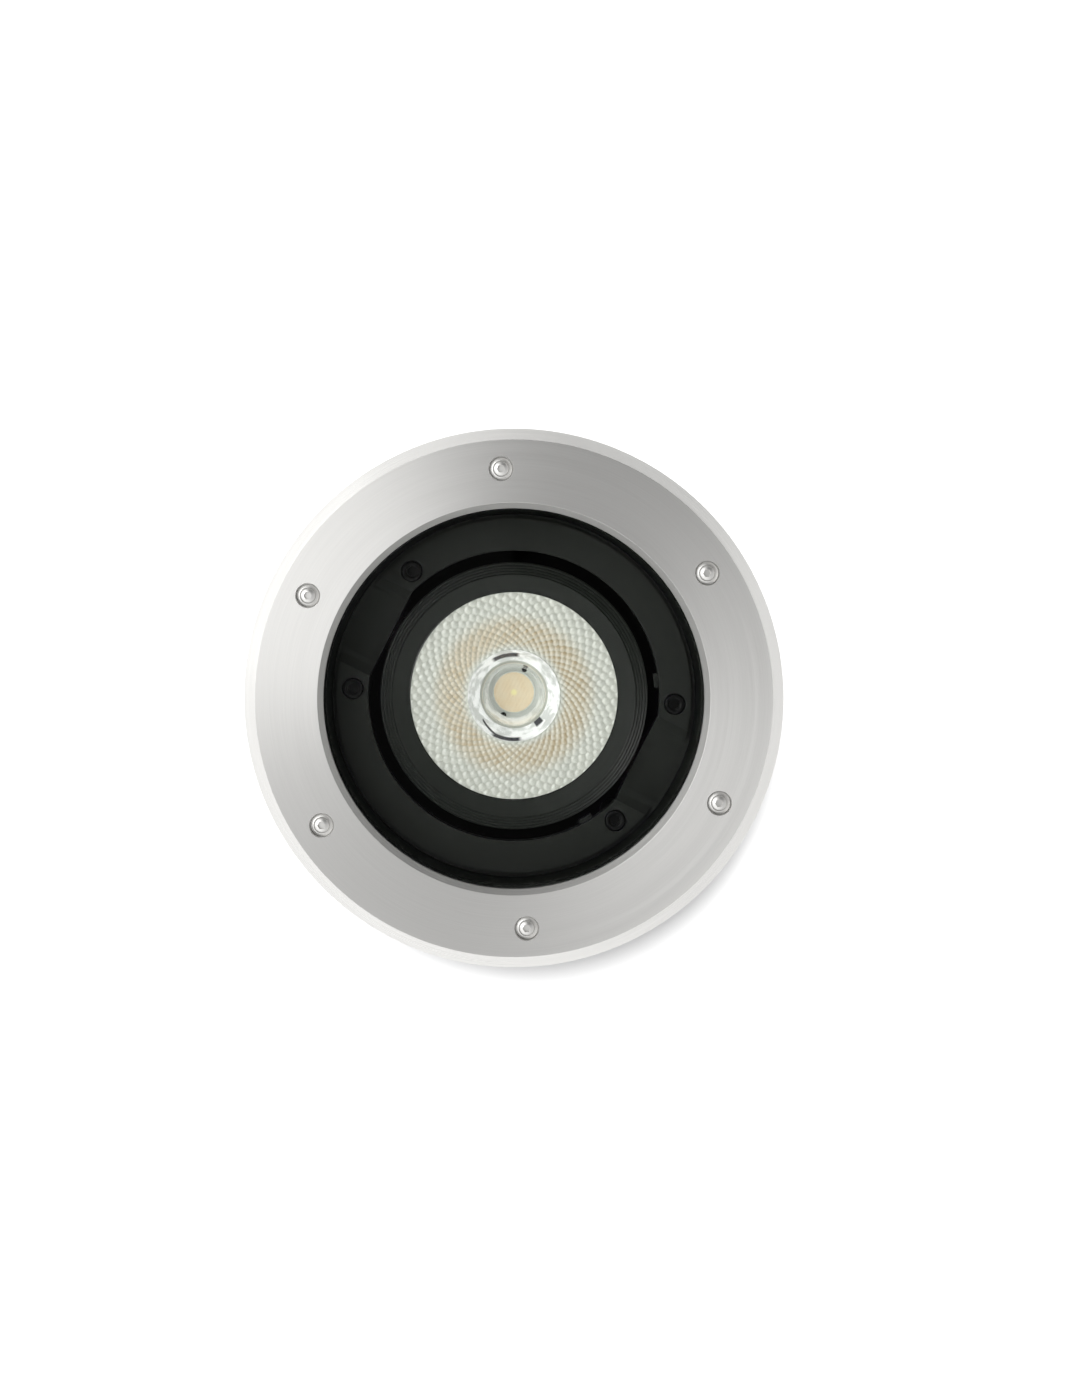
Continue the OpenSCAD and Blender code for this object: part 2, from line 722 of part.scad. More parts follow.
module can() {
    color(black_colour) difference() {
        union() {
            turned([
                [0, can_bottom_z], [sink_r, can_bottom_z], [head_r, can_taper_z],
                [head_r, can_shoulder_z], [ring_thread_r - thread_fit, can_shoulder_z],
                [ring_thread_r - thread_fit, neck_top_z], [0, neck_top_z]
            ]);
            both_ends() on_pivot(pivot_block_x) cylinder(r = pivot_pad_r, h = head_r - pivot_block_x);
        }
        translate([0, 0, can_floor_z]) cylinder(r = optic_neck_r, h = neck_top_z - can_floor_z + 1);
        difference() {
            translate([0, 0, can_chamber_bottom_z])
                cylinder(r = can_chamber_r, h = can_chamber_top_z - can_chamber_bottom_z);
            both_ends() pivot_block();
        }
        both_ends() on_pivot(head_r - pin_thread_l)
            cylinder(r = pin_thread_r + thread_fit, h = pin_thread_l + 1);
        on_pivot(optic_neck_r - 2) cylinder(r = lead_bore_r, h = head_r - optic_neck_r);
        around(2, holder_screw_x, 90) translate([0, 0, holder_top_z - holder_screw_l - 0.5])
            cylinder(r = holder_screw_d / 2 + thread_fit, h = holder_screw_l);
        around(sink_screw_count, sink_screw_r, 45) translate([0, 0, can_bottom_z - 1])
            cylinder(r = small_screw_d / 2 + hole_fit, h = can_floor_t + 2);
    }
}

module chip_holder() {
    color("whitesmoke") difference() {
        translate([0, 0, can_floor_z]) disc(chip_holder_r, chip_holder_t, 0.4);
        translate([0, 0, can_floor_z + chip_t + seat_fit / 2])
            cylinder(r1 = optic_rear_d / 2 + optic_clear, r2 = holder_opening_r,
                h = chip_holder_t - chip_t - seat_fit / 2 + eps);
        translate([-chip_side / 2 - seat_fit, -chip_side / 2 - seat_fit, can_floor_z - 1])
            cube([chip_side + 2 * seat_fit, chip_side + 2 * seat_fit, chip_t + 1 + seat_fit / 2]);
        around(2, holder_screw_x, 90) translate([0, 0, can_floor_z - 1])
            cylinder(r = holder_screw_d / 2 + hole_fit, h = chip_holder_t + 2);
    }
}

module chip_holder_screws() {
    color("silver") around(2, holder_screw_x, 90) translate([0, 0, holder_top_z])
        cap_screw(holder_screw_d, holder_screw_l, holder_head_d, holder_head_h);
}

module chip_base() {
    color("lightgray") translate([-chip_side / 2, -chip_side / 2, can_floor_z])
        cube([chip_side, chip_side, chip_t]);
}

module chip_glow() {
    color("gold") translate([0, 0, can_floor_z + chip_t]) disc(glow_d / 2, 0.8, 0.2);
}

module thermal_pad() {
    color("lightsteelblue") difference() {
        translate([0, 0, sink_top_z]) cylinder(r = sink_r - 2, h = pad_t);
        around(sink_screw_count, sink_screw_r, 45) translate([0, 0, sink_top_z - 1])
            cylinder(r = small_screw_d / 2 + hole_fit, h = pad_t + 2);
    }
}

module heat_sink() {
    fin_span = sink_d - 10;
    color(black_colour) difference() {
        union() {
            translate([0, 0, fin_top_z]) cylinder(r = sink_r, h = sink_base_t);
            intersection() {
                translate([0, 0, fin_bottom_z]) cylinder(r = sink_r, h = fin_l + eps);
                for (i = [0:fin_count - 1])
                    translate([i * fin_pitch - fin_span / 2 - fin_t / 2, -sink_r, fin_bottom_z])
                        cube([fin_t, sink_d, fin_l + eps]);
            }
        }
        around(sink_screw_count, sink_screw_r, 45) translate([0, 0, sink_top_z - sink_base_t + 1])
            cylinder(r = small_screw_d / 2 + thread_fit, h = sink_base_t);
    }
}

module heat_sink_screws() {
    color("silver") around(sink_screw_count, sink_screw_r, 45) translate([0, 0, can_floor_z])
        cap_screw(small_screw_d, sink_screw_l, small_head_d, small_head_h);
}

// The supply lead inside the lamp head: in through the hollow pin, down the can and in to the chip
module head_lead() {
    color("white") lead_run([
        [pin_end_x + seat_fit, pivot_z], [optic_neck_r - lead_r - 1, pivot_z],
        [optic_neck_r - lead_r - 1, can_floor_z + 2], [chip_holder_r, can_floor_z + 2]
    ], lead_r, lead_bend_r);
}

// The same supply from the driver up through the bulkhead and along the wall to the hollow pin
module lamp_lead() {
    color("white") lead_run([
        [driver_l / 2, driver_lead_z], [grommet_x, driver_lead_z], [grommet_x, lead_turn_z],
        [lead_x, lead_turn_z], [lead_x, pivot_z], [pin_end_x + 2 * seat_fit, pivot_z]
    ], lead_r, lead_bend_r);
}

module lead_grommet() {
    color(rubber_colour) translate([grommet_x, 0, 0]) turned([
        [lead_r + 0.1, chamber_top_z - grommet_lip_t], [grommet_r, chamber_top_z - grommet_lip_t],
        [grommet_r, chamber_top_z], [grommet_hole_r, chamber_top_z], [grommet_hole_r, bulkhead_z],
        [grommet_r, bulkhead_z], [grommet_r, bulkhead_z + grommet_lip_t],
        [lead_r + 0.1, bulkhead_z + grommet_lip_t]
    ]);
}

module driver() {
    edge = 2;
    x = driver_l / 2;
    y = driver_w / 2;
    color("whitesmoke") difference() {
        translate([-x, 0, driver_z]) rotate([90, 0, 90]) linear_extrude(driver_l) polygon([
            [-y, 0], [y, 0], [y, driver_h - edge], [y - edge, driver_h], [edge - y, driver_h],
            [-y, driver_h - edge]
        ]);
        translate([edge * 4 - x, edge * 4 - y, driver_z + driver_h - 0.6])
            cube([driver_l - edge * 8, driver_w - edge * 8, 1]);
    }
}

module driver_bracket() {
    color("silver") difference() {
        union() {
            translate([-driver_l / 2, -driver_w / 2, base_top_z]) cube([driver_l, driver_w, bracket_t]);
            translate([-driver_l / 2 - driver_ear, -driver_ear_w / 2, base_top_z])
                cube([driver_l + 2 * driver_ear, driver_ear_w, bracket_t]);
        }
        at_driver_screws() translate([0, 0, base_top_z - 1])
            cylinder(r = small_screw_d / 2 + hole_fit, h = bracket_t + 2);
    }
}

module driver_screws() {
    color("silver") at_driver_screws() translate([0, 0, driver_z])
        cap_screw(small_screw_d, driver_screw_l, small_head_d, small_head_h);
}

module terminal_block() {
    color("ivory") difference() {
        translate([-terminal_l / 2, terminal_y - terminal_w / 2, base_top_z])
            cube([terminal_l, terminal_w, terminal_h]);
        for (i = [0:wire_count - 1])
            translate([(i - (wire_count - 1) / 2) * wire_pitch, terminal_y, base_top_z + terminal_h - 3])
                cylinder(d = terminal_screw_d + 0.6, h = 4);
    }
}

module terminal_screws() {
    color("silver") for (i = [0:wire_count - 1])
        translate([(i - (wire_count - 1) / 2) * wire_pitch, terminal_y, base_top_z + terminal_h - 3])
            difference() {
                cylinder(d = terminal_screw_d, h = 2.2);
                translate([-terminal_screw_d, -0.3, 1.4]) cube([2 * terminal_screw_d, 0.6, 1]);
            }
}

module driver_wires() {
    start_y = terminal_y + terminal_w / 2;
    color("saddlebrown") for (i = [0:wire_count - 1])
        translate([(i - (wire_count - 1) / 2) * wire_pitch, start_y, wire_z])
            rotate([-90, 0, 0]) cylinder(r = wire_r, h = -driver_w / 2 - start_y);
}

module earth_screw() {
    color("gold") translate([0, earth_y, base_top_z])
        cap_screw(small_screw_d, driver_screw_l - bracket_t, small_head_d, small_head_h);
}

module base_cover() {
    color(black_colour) difference() {
        translate([0, 0, base_z]) disc(base_r, base_t, 1);
        around(base_screw_count, base_screw_r) {
            translate([0, 0, base_z - 1]) cylinder(r = small_screw_d / 2 + hole_fit, h = base_t + 2);
            translate([0, 0, base_z - 1]) cylinder(d = small_head_d + 2 * hole_fit, h = small_screw_d + 1.5);
        }
        at_driver_screws() translate([0, 0, driver_z - driver_screw_l - 0.5])
            cylinder(r = small_screw_d / 2 + thread_fit, h = base_t);
        translate([0, earth_y, base_top_z - driver_screw_l + bracket_t - 0.5])
            cylinder(r = small_screw_d / 2 + thread_fit, h = base_t);
    }
}

module base_gasket() {
    color(rubber_colour) difference() {
        translate([0, 0, base_top_z]) tube(base_r - 0.5, chamber_r + 0.5, base_gasket_t);
        around(base_screw_count, base_screw_r) translate([0, 0, base_top_z - 1])
            cylinder(r = small_screw_d / 2 + hole_fit, h = base_gasket_t + 2);
    }
}

module base_screws() {
    floor_z = base_z + small_screw_d + 0.5;
    screw_l = base_top_z - floor_z + base_gasket_t + base_flange_t - 3;
    color("silver") around(base_screw_count, base_screw_r) translate([0, 0, floor_z]) rotate([180, 0, 0])
        cap_screw(small_screw_d, screw_l, small_head_d, small_screw_d);
}

module vent_plug() {
    color(black_colour) at_vent() difference() {
        union() {
            translate([0, 0, gland_washer_t]) cylinder(r = vent_head_r, h = vent_head_t, $fn = 6);
            translate([0, 0, -gland_wall_t - 1])
                cylinder(r = vent_r, h = gland_wall_t + gland_washer_t + 1 + eps);
        }
        translate([0, 0, -gland_wall_t - 2])
            cylinder(r = vent_r - 2, h = gland_wall_t + gland_washer_t + vent_head_t);
    }
}

module vent_seal() {
    color(rubber_colour) at_vent() tube(vent_head_r - 1.5, vent_r + thread_fit, gland_washer_t);
}

module gland_body() {
    flange_z = gland_washer_t;
    color(nylon_colour) at_gland() difference() {
        union() {
            translate([0, 0, -gland_wall_t - locknut_t - 2])
                cylinder(r = gland_r, h = gland_wall_t + locknut_t + 2 + flange_z + eps);
            translate([0, 0, flange_z]) cylinder(d = gland_hex_d, h = gland_flange_t, $fn = 6);
            translate([0, 0, flange_z + gland_flange_t - eps])
                cylinder(r = gland_r, h = gland_thread_l + eps);
        }
        translate([0, 0, -gland_wall_t - locknut_t - 3])
            cylinder(r = gland_bore_r, h = gland_wall_t + locknut_t + 3 + flange_z + gland_flange_t
                + gland_thread_l + 1);
    }
}

module gland_washer() {
    color(rubber_colour) at_gland() tube(gland_r + 2, gland_r + thread_fit, gland_washer_t);
}

module gland_locknut() {
    color(nylon_colour) at_gland() translate([0, 0, -gland_wall_t - locknut_t]) difference() {
        cylinder(d = gland_hex_d, h = locknut_t, $fn = 6);
        translate([0, 0, -1]) cylinder(r = gland_r + thread_fit, h = locknut_t + 2);
    }
}

// Where the gland's dome nut starts and where the cable seal ends, outwards from the boss
nut_z = gland_washer_t + gland_flange_t + nut_gap;
seal_end_z = nut_z + gland_nut_l - nut_wall_t;

module gland_seal() {
    color("dimgray") at_gland() translate([0, 0, seal_end_z - seal_l])
        tube(gland_bore_r, seal_bore_r, seal_l);
}

module gland_nut() {
    color(nylon_colour) at_gland() difference() {
        union() {
            translate([0, 0, nut_z]) cylinder(d = gland_hex_d, h = gland_nut_l / 2, $fn = 6);
            translate([0, 0, nut_z + gland_nut_l / 2 - eps])
                cylinder(r1 = gland_r + 2.2, r2 = gland_bore_r + 2, h = gland_nut_l / 2 + eps);
        }
        translate([0, 0, nut_z - 1]) cylinder(r = gland_r + thread_fit, h = gland_thread_l + 1);
        translate([0, 0, nut_z]) cylinder(r = gland_bore_r + 0.1, h = gland_nut_l - nut_wall_t);
        translate([0, 0, nut_z]) cylinder(r = seal_bore_r + 0.6, h = gland_nut_l + 1);
    }
}

rim();
rim_screws();
glass();
glass_gasket();
body();
cradle_ring();
cradle_screws();
pivot_bushes();
pivot_pins();
friction_washers();
front_ring();
optic();
optic_seal();
can();
chip_holder();
chip_holder_screws();
chip_base();
chip_glow();
thermal_pad();
heat_sink();
heat_sink_screws();
head_lead();
lamp_lead();
lead_grommet();
driver();
driver_bracket();
driver_screws();
terminal_block();
terminal_screws();
driver_wires();
earth_screw();
base_cover();
base_gasket();
base_screws();
vent_plug();
vent_seal();
gland_body();
gland_washer();
gland_locknut();
gland_seal();
gland_nut();
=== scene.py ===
"""Looks of a round in-ground spotlight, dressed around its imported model."""

import json
import math
import random

import bmesh
import bpy
from bpy.props import FloatProperty, FloatVectorProperty, IntProperty, PointerProperty
from mathutils import Matrix, Vector
from mathutils.kdtree import KDTree

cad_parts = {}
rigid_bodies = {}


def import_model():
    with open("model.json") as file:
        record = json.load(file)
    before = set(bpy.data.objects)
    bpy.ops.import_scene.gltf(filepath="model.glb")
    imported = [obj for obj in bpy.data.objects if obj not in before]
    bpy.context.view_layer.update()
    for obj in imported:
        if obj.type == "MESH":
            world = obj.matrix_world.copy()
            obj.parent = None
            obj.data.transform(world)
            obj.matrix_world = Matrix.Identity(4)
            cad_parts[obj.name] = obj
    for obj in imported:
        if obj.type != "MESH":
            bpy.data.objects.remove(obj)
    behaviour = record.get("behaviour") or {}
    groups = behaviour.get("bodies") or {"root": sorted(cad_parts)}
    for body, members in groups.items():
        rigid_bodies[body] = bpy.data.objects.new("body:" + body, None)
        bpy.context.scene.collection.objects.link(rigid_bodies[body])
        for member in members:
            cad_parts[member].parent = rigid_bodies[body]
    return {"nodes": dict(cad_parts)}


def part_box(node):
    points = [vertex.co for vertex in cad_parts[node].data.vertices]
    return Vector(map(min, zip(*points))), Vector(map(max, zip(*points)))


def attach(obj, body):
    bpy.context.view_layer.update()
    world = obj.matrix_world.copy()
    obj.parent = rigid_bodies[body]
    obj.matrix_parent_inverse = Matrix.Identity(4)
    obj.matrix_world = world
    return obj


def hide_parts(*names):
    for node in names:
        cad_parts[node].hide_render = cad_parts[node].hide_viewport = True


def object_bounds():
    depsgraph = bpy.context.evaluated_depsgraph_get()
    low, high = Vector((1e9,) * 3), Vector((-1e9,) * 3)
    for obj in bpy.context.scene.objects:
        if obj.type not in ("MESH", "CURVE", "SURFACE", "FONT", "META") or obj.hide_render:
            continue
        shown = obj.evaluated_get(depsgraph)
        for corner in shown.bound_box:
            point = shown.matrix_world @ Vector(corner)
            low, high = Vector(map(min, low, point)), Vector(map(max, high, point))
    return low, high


bl_info = {
    "name": "In-ground Spotlight",
    "version": (1, 0, 0),
    "blender": (4, 5, 0),
    "location": "3D View > Sidebar > Spotlight",
    "description": "Dresses the packed model of a round in-ground spotlight in a plain studio",
    "category": "Add Mesh",
}

MM = 0.001
TURN = 2 * math.pi
DOUBLE_GAP = 0.002 * MM

for leftover in list(bpy.data.objects):
    bpy.data.objects.remove(leftover)

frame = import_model()
cad_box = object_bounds()


def reach(node):
    """Radius of a round CAD node about the lamp's axis."""
    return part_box(node)[1].x


def top(node):
    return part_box(node)[1].z


def bottom(node):
    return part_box(node)[0].z


# Settings that a user would change


def length_setting(name, value, description):
    """A length, with its value given in millimetres."""
    return FloatProperty(name=name, description=description, default=value * MM, unit="LENGTH")


def colour_setting(name, value, description):
    return FloatVectorProperty(name=name, description=description, default=value, subtype="COLOR")


class RimSettings(bpy.types.PropertyGroup):
    """Sizes of the stainless rim and its screws."""

    bevel_width: length_setting("Bevel width", 4.9, "Width of the sloping band round the outside")
    edge_height: length_setting("Edge height", 1.3, "Height of the upright edge below the sloping band")
    lip: length_setting("Lip", 5.8, "How far the rim covers the glass")
    chamfer: length_setting("Chamfer", 2.4, "Width of the sloping band round the opening")
    chamfer_drop: length_setting("Chamfer drop", 2.6, "Height of the sloping band round the opening")
    recess: length_setting("Recess", 0.5, "How far the underside is recessed over the body's flange")
    screw_circle: length_setting(
        "Screw circle", 98, "Radius of the circle that the rim screws stand on")
    screw_count: IntProperty(
        name="Screws", description="Number of rim screws", default=6)
    steel_colour: colour_setting(
        "Steel", (0.60, 0.595, 0.58), "Colour of the brushed steel")


class HeadSettings(bpy.types.PropertyGroup):
    """Sizes of the lamp head's front."""

    lip_width: length_setting("Lip width", 2.2, "How far the front ring covers the optic")
    dish: length_setting("Dish", 1.2, "How far the front ring's face falls towards the optic")
    slope_width: length_setting("Slope width", 5.6, "Width of the front ring's grooved slope")
    slope_drop: length_setting("Slope drop", 0.6, "Height of the front ring's grooved slope")
    groove_count: IntProperty(
        name="Grooves", description="Number of grooves in the slope", default=4)
    groove_depth: length_setting("Groove depth", 0.3, "Depth of a groove")
    black_colour: colour_setting(
        "Black coat", (0.0045, 0.0056, 0.0045), "Colour of the powder coat")


class OpticSettings(bpy.types.PropertyGroup):
    """Sizes of the faceted optic."""

    facet_count: IntProperty(
        name="Facets", description="Number of facets in one ring", default=46)
    facet_gap: length_setting(
        "Facet gap", 2.1, "Distance between two rings of facets, at the optic's edge")
    facet_height: length_setting("Facet height", 0.34, "Height of a facet's dome over its edges")
    well_radius: length_setting("Well radius", 20.2, "Radius of the well in the middle, at the face")
    well_floor_radius: length_setting("Well floor radius", 15, "Radius of the well at its floor")
    well_depth: length_setting("Well depth", 13, "Depth of the well")
    lens_radius: length_setting("Lens radius", 14, "Radius of the small lens in the well")
    lens_rise: length_setting("Lens rise", 4, "Height of the small lens")
    pale_colour: colour_setting(
        "Facets", (0.58, 0.585, 0.545), "Colour of the facets towards the edge")
    # The amber is the source's image, painted into the facets.
    amber_colour: colour_setting(
        "Amber", (0.5, 0.385, 0.235), "Colour that the facets take from the light source")


class StageSettings(bpy.types.PropertyGroup):
    """Camera and light."""

    camera_distance: FloatProperty(
        name="Distance", description="Distance of the camera from the rim",
        default=1.1, unit="LENGTH")
    camera_tilt: FloatProperty(
        name="Tilt", description="Angle of the camera off the lamp's axis, towards the picture's top",
        default=math.radians(3.0), subtype="ANGLE")
    camera_turn: FloatProperty(
        name="Turn", description="Turn of the picture's right side away from the tilt axis",
        default=math.radians(26.8), subtype="ANGLE")
    lens: FloatProperty(name="Lens", description="Focal length in millimetres", default=67.35)
    key_power: FloatProperty(
        name="Key", description="Power of the large soft light", default=4.0, subtype="POWER")
    edge_power: FloatProperty(
        name="Edge light", description="Power of the low light along the front ring's edges",
        default=11.0, subtype="POWER")
    shadow_power: FloatProperty(
        name="Shadow light", description="Power of the light that draws the shadow on the floor",
        default=190.0, subtype="POWER")
    ceiling: FloatProperty(
        name="Ceiling", description="Grey of the ceiling where it is lit most", default=2.1)
    overhead: FloatProperty(
        name="Overhead", description="Share of the ceiling's grey that is left straight above",
        default=0.015)
    wall: FloatProperty(name="Walls", description="Grey of the room's walls", default=1.0)
    floor_colour: colour_setting(
        "Floor", (0.5, 0.5, 0.5), "Colour of the floor")


# Mesh tools


def rounded(corners, steps=3, guard=0.25 * MM):
    """Closed outline through corners (radius, height, fillet), with every fillet an arc.

    A guard point on either side of an arc keeps the shading of the flats beside it flat.
    """
    points = []
    for i, (r, z, fillet) in enumerate(corners):
        here = Vector((r, z))
        if not fillet:
            points.append(here)
            continue
        back = Vector(corners[i - 1][:2]) - here
        ahead = Vector(corners[(i + 1) % len(corners)][:2]) - here
        half = back.angle(ahead) / 2
        cut = fillet / math.tan(half)
        middle = here + (back.normalized() + ahead.normalized()).normalized() * fillet / math.sin(half)
        first = here + back.normalized() * cut - middle
        last = here + ahead.normalized() * cut - middle
        if back.length > 4 * (cut + guard):
            points.append(here + back.normalized() * (cut + guard))
        turn = first.angle(last)
        for k in range(steps + 1):
            a = turn * k / steps
            points.append(middle + (first * math.sin(turn - a) + last * math.sin(a)) / math.sin(turn))
        if ahead.length > 4 * (cut + guard):
            points.append(here + ahead.normalized() * (cut + guard))
    return points


def lathe(outline, segments, sectors=8):
    """Spins a closed outline of (radius, height) points round the lamp's axis.

    One sector is spun and then copied round, because a long spin is slow.
    """
    bm = bmesh.new()
    verts = [bm.verts.new((r, 0, z)) for r, z in outline]
    edges = [bm.edges.new(pair) for pair in zip(verts, verts[1:] + verts[:1])]
    bmesh.ops.spin(
        bm, geom=verts + edges, cent=(0, 0, 0), axis=(0, 0, 1), dvec=(0, 0, 0),
        angle=TURN / sectors, steps=segments // sectors, use_merge=False, use_duplicate=False)
    bm = copies(bm, round_places(sectors, 0))
    bmesh.ops.remove_doubles(bm, verts=bm.verts, dist=DOUBLE_GAP)
    on_axis = [edge for edge in bm.edges if not edge.link_faces]
    bmesh.ops.delete(bm, geom=on_axis, context="EDGES")
    bmesh.ops.recalc_face_normals(bm, faces=bm.faces)
    return bm


def copies(source, places):
    """One bmesh with a copy of a bmesh at each place. The source is freed."""
    mesh = bpy.data.meshes.new("copy")
    source.to_mesh(mesh)
    source.free()
    bm = bmesh.new()
    for place in places:
        mesh.transform(place)
        bm.from_mesh(mesh)
        mesh.transform(place.inverted())
    bpy.data.meshes.remove(mesh)
    return bm


def round_places(count, radius, height=0.0, first=0.0):
    """Places spread evenly round the axis, each with its X outwards."""
    return [
        Matrix.Rotation(first + TURN * i / count, 4, "Z") @ Matrix.Translation((radius, 0, height))
        for i in range(count)]


def prism(sides, radius, low, high):
    """Upright prism about the axis."""
    bm = bmesh.new()
    bmesh.ops.create_cone(
        bm, cap_ends=True, segments=sides, radius1=radius, radius2=radius, depth=high - low,
        matrix=Matrix.Translation((0, 0, (low + high) / 2)))
    return bm


def sharp_edges(bm, angle):
    return [e for e in bm.edges if len(e.link_faces) == 2 and e.calc_face_angle(0) > angle]


def break_edges(bm, width, segments=2, angle=math.radians(30), finish=0):
    """Bevels every sharp edge, and gives the new faces one of the piece's materials.

    Where edges lie close together the width is clamped, in places down to nothing.
    """
    made = bmesh.ops.bevel(
        bm, geom=sharp_edges(bm, angle), offset=width, offset_type="OFFSET", segments=segments,
        profile=0.5, affect="EDGES", clamp_overlap=True, loop_slide=True, material=-1)
    for face in made["faces"]:
        face.material_index = finish
    return bm


def carried(node):
    """A merged copy of a CAD node's mesh, with its flats joined."""
    bm = bmesh.new()
    bm.from_mesh(frame["nodes"][node].data)
    bmesh.ops.remove_doubles(bm, verts=bm.verts, dist=DOUBLE_GAP)
    bmesh.ops.dissolve_limit(bm, angle_limit=math.radians(0.5), verts=bm.verts, edges=bm.edges)
    for face in bm.faces:
        face.material_index = 0
    return bm


def linked(name, bm, materials=()):
    """An object with that mesh at the origin. The bmesh is freed."""
    mesh = bpy.data.meshes.new(name)
    bm.to_mesh(mesh)
    bm.free()
    for material in materials:
        mesh.materials.append(material)
    obj = bpy.data.objects.new(name, mesh)
    bpy.context.scene.collection.objects.link(obj)
    return obj


def apply_modifiers(obj):
    graph = bpy.context.evaluated_depsgraph_get()
    finished = bpy.data.meshes.new_from_object(
        obj.evaluated_get(graph), preserve_all_data_layers=True, depsgraph=graph)
    obj.modifiers.clear()
    obj.data = finished


def cut(bm, cutter):
    """The first bmesh with the second one taken out of it. Both are freed."""
    obj = linked("cut_body", bm)
    tool = linked("cut_tool", cutter)
    modifier = obj.modifiers.new("cut", "BOOLEAN")
    modifier.operation = "DIFFERENCE"
    modifier.solver = "EXACT"
    modifier.object = tool
    apply_modifiers(obj)
    result = bmesh.new()
    result.from_mesh(obj.data)
    bpy.data.objects.remove(tool)
    bpy.data.objects.remove(obj)
    return result


def piece(name, bm, materials, body, stands_for=(), sharp=math.radians(35)):
    """Finishes a bmesh as a piece of the lamp that rides on a body."""
    for face in bm.faces:
        face.smooth = True
    for edge in sharp_edges(bm, sharp):
        edge.smooth = False
    obj = linked(name, bm, materials)
    weighted = obj.modifiers.new("weighted", "WEIGHTED_NORMAL")
    weighted.keep_sharp = True
    apply_modifiers(obj)
    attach(obj, body)
    if stands_for:
        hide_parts(*stands_for)
    return obj


# Node tools

FLOAT, VECTOR = "NodeSocketFloat", "NodeSocketVector"


def once(make):
    """Keeps what a function makes, so that the pieces and materials share it."""
    kept = {}

    def kept_result(*values):
        if values not in kept:
            kept[values] = make(*values)
        return kept[values]

    return kept_result


def put(tree, kind, **settings):
    made = tree.nodes.new(kind)
    for key, value in settings.items():
        setattr(made, key, value)
    return made


def feed(tree, socket, value):
    """Links a socket to another one, or sets its plain value."""
    if isinstance(value, bpy.types.NodeSocket):
        tree.links.new(value, socket)
    else:
        socket.default_value = value


def calc(tree, operation, *values):
    made = put(tree, "ShaderNodeMath", operation=operation)
    for socket, value in zip(made.inputs, values):
        feed(tree, socket, value)
    return made.outputs[0]


def remap(tree, value, low, high, to_low=0.0, to_high=1.0, kind="SMOOTHSTEP"):
    made = put(tree, "ShaderNodeMapRange", interpolation_type=kind)
    for socket, fed in zip(made.inputs, (value, low, high, to_low, to_high)):
        feed(tree, socket, fed)
    return made.outputs["Result"]


def blended(tree, share, first, second):
    """Mix of two colours."""
    made = put(tree, "ShaderNodeMix", data_type="RGBA")
    feed(tree, made.inputs["Factor"], share)
    feed(tree, made.inputs["A"], with_alpha(first))
    feed(tree, made.inputs["B"], with_alpha(second))
    return made.outputs["Result"]


def with_alpha(colour):
    return colour if isinstance(colour, bpy.types.NodeSocket) else (*colour[:3], 1.0)


def noise(tree, coordinates, scale, detail, roughness=0.55):
    made = put(tree, "ShaderNodeTexNoise")
    feed(tree, made.inputs["Vector"], coordinates)
    feed(tree, made.inputs["Scale"], scale)
    made.inputs["Detail"].default_value = detail
    made.inputs["Roughness"].default_value = roughness
    return made.outputs["Fac"]


def bump(tree, height, distance):
    made = put(tree, "ShaderNodeBump")
    made.inputs["Strength"].default_value = 1.0
    made.inputs["Distance"].default_value = distance
    feed(tree, made.inputs["Height"], height)
    return made.outputs["Normal"]


def object_coordinates(tree):
    return put(tree, "ShaderNodeTexCoord").outputs["Object"]


def new_group(name, inputs, outputs):
    """A node group with named sockets, given as (name, kind, default) and (name, kind)."""
    group = bpy.data.node_groups.new(name, "ShaderNodeTree")
    for label, kind, default in inputs:
        socket = group.interface.new_socket(label, in_out="INPUT", socket_type=kind)
        if default is not None:
            socket.default_value = default
    for label, kind in outputs:
        group.interface.new_socket(label, in_out="OUTPUT", socket_type=kind)
    return group, put(group, "NodeGroupInput").outputs, put(group, "NodeGroupOutput").inputs


def axis_distance(tree, coordinates):
    """Distance of a point from the lamp's axis."""
    parts = put(tree, "ShaderNodeSeparateXYZ")
    feed(tree, parts.inputs[0], coordinates)
    square_x = calc(tree, "MULTIPLY", parts.outputs["X"], parts.outputs["X"])
    square_y = calc(tree, "MULTIPLY", parts.outputs["Y"], parts.outputs["Y"])
    return calc(tree, "SQRT", calc(tree, "ADD", square_x, square_y)), parts.outputs


@once
def turned_grain():
    """Fine rings of a turned or circular-brushed face, broken up round the axis."""
    group, given, result = new_group(
        "turned_grain",
        [("Coordinates", VECTOR, None), ("Rings", FLOAT, 4000.0), ("Breaks", FLOAT, 3.0)],
        [("Grain", FLOAT), ("Bands", FLOAT)])
    radius, parts = axis_distance(group, given["Coordinates"])
    place = put(group, "ShaderNodeCombineXYZ")
    for socket, part in zip(place.inputs, (parts["X"], parts["Y"])):
        unit = calc(group, "DIVIDE", part, radius)
        feed(group, socket, calc(group, "MULTIPLY", unit, given["Breaks"]))
    depth = calc(group, "ADD", radius, calc(group, "MULTIPLY", parts["Z"], 0.6))
    feed(group, place.inputs["Z"], calc(group, "MULTIPLY", depth, given["Rings"]))
    feed(group, result["Grain"], noise(group, place.outputs[0], 1.0, 4.0, 0.65))
    feed(group, result["Bands"], noise(group, place.outputs[0], 0.12, 2.0))
    return group


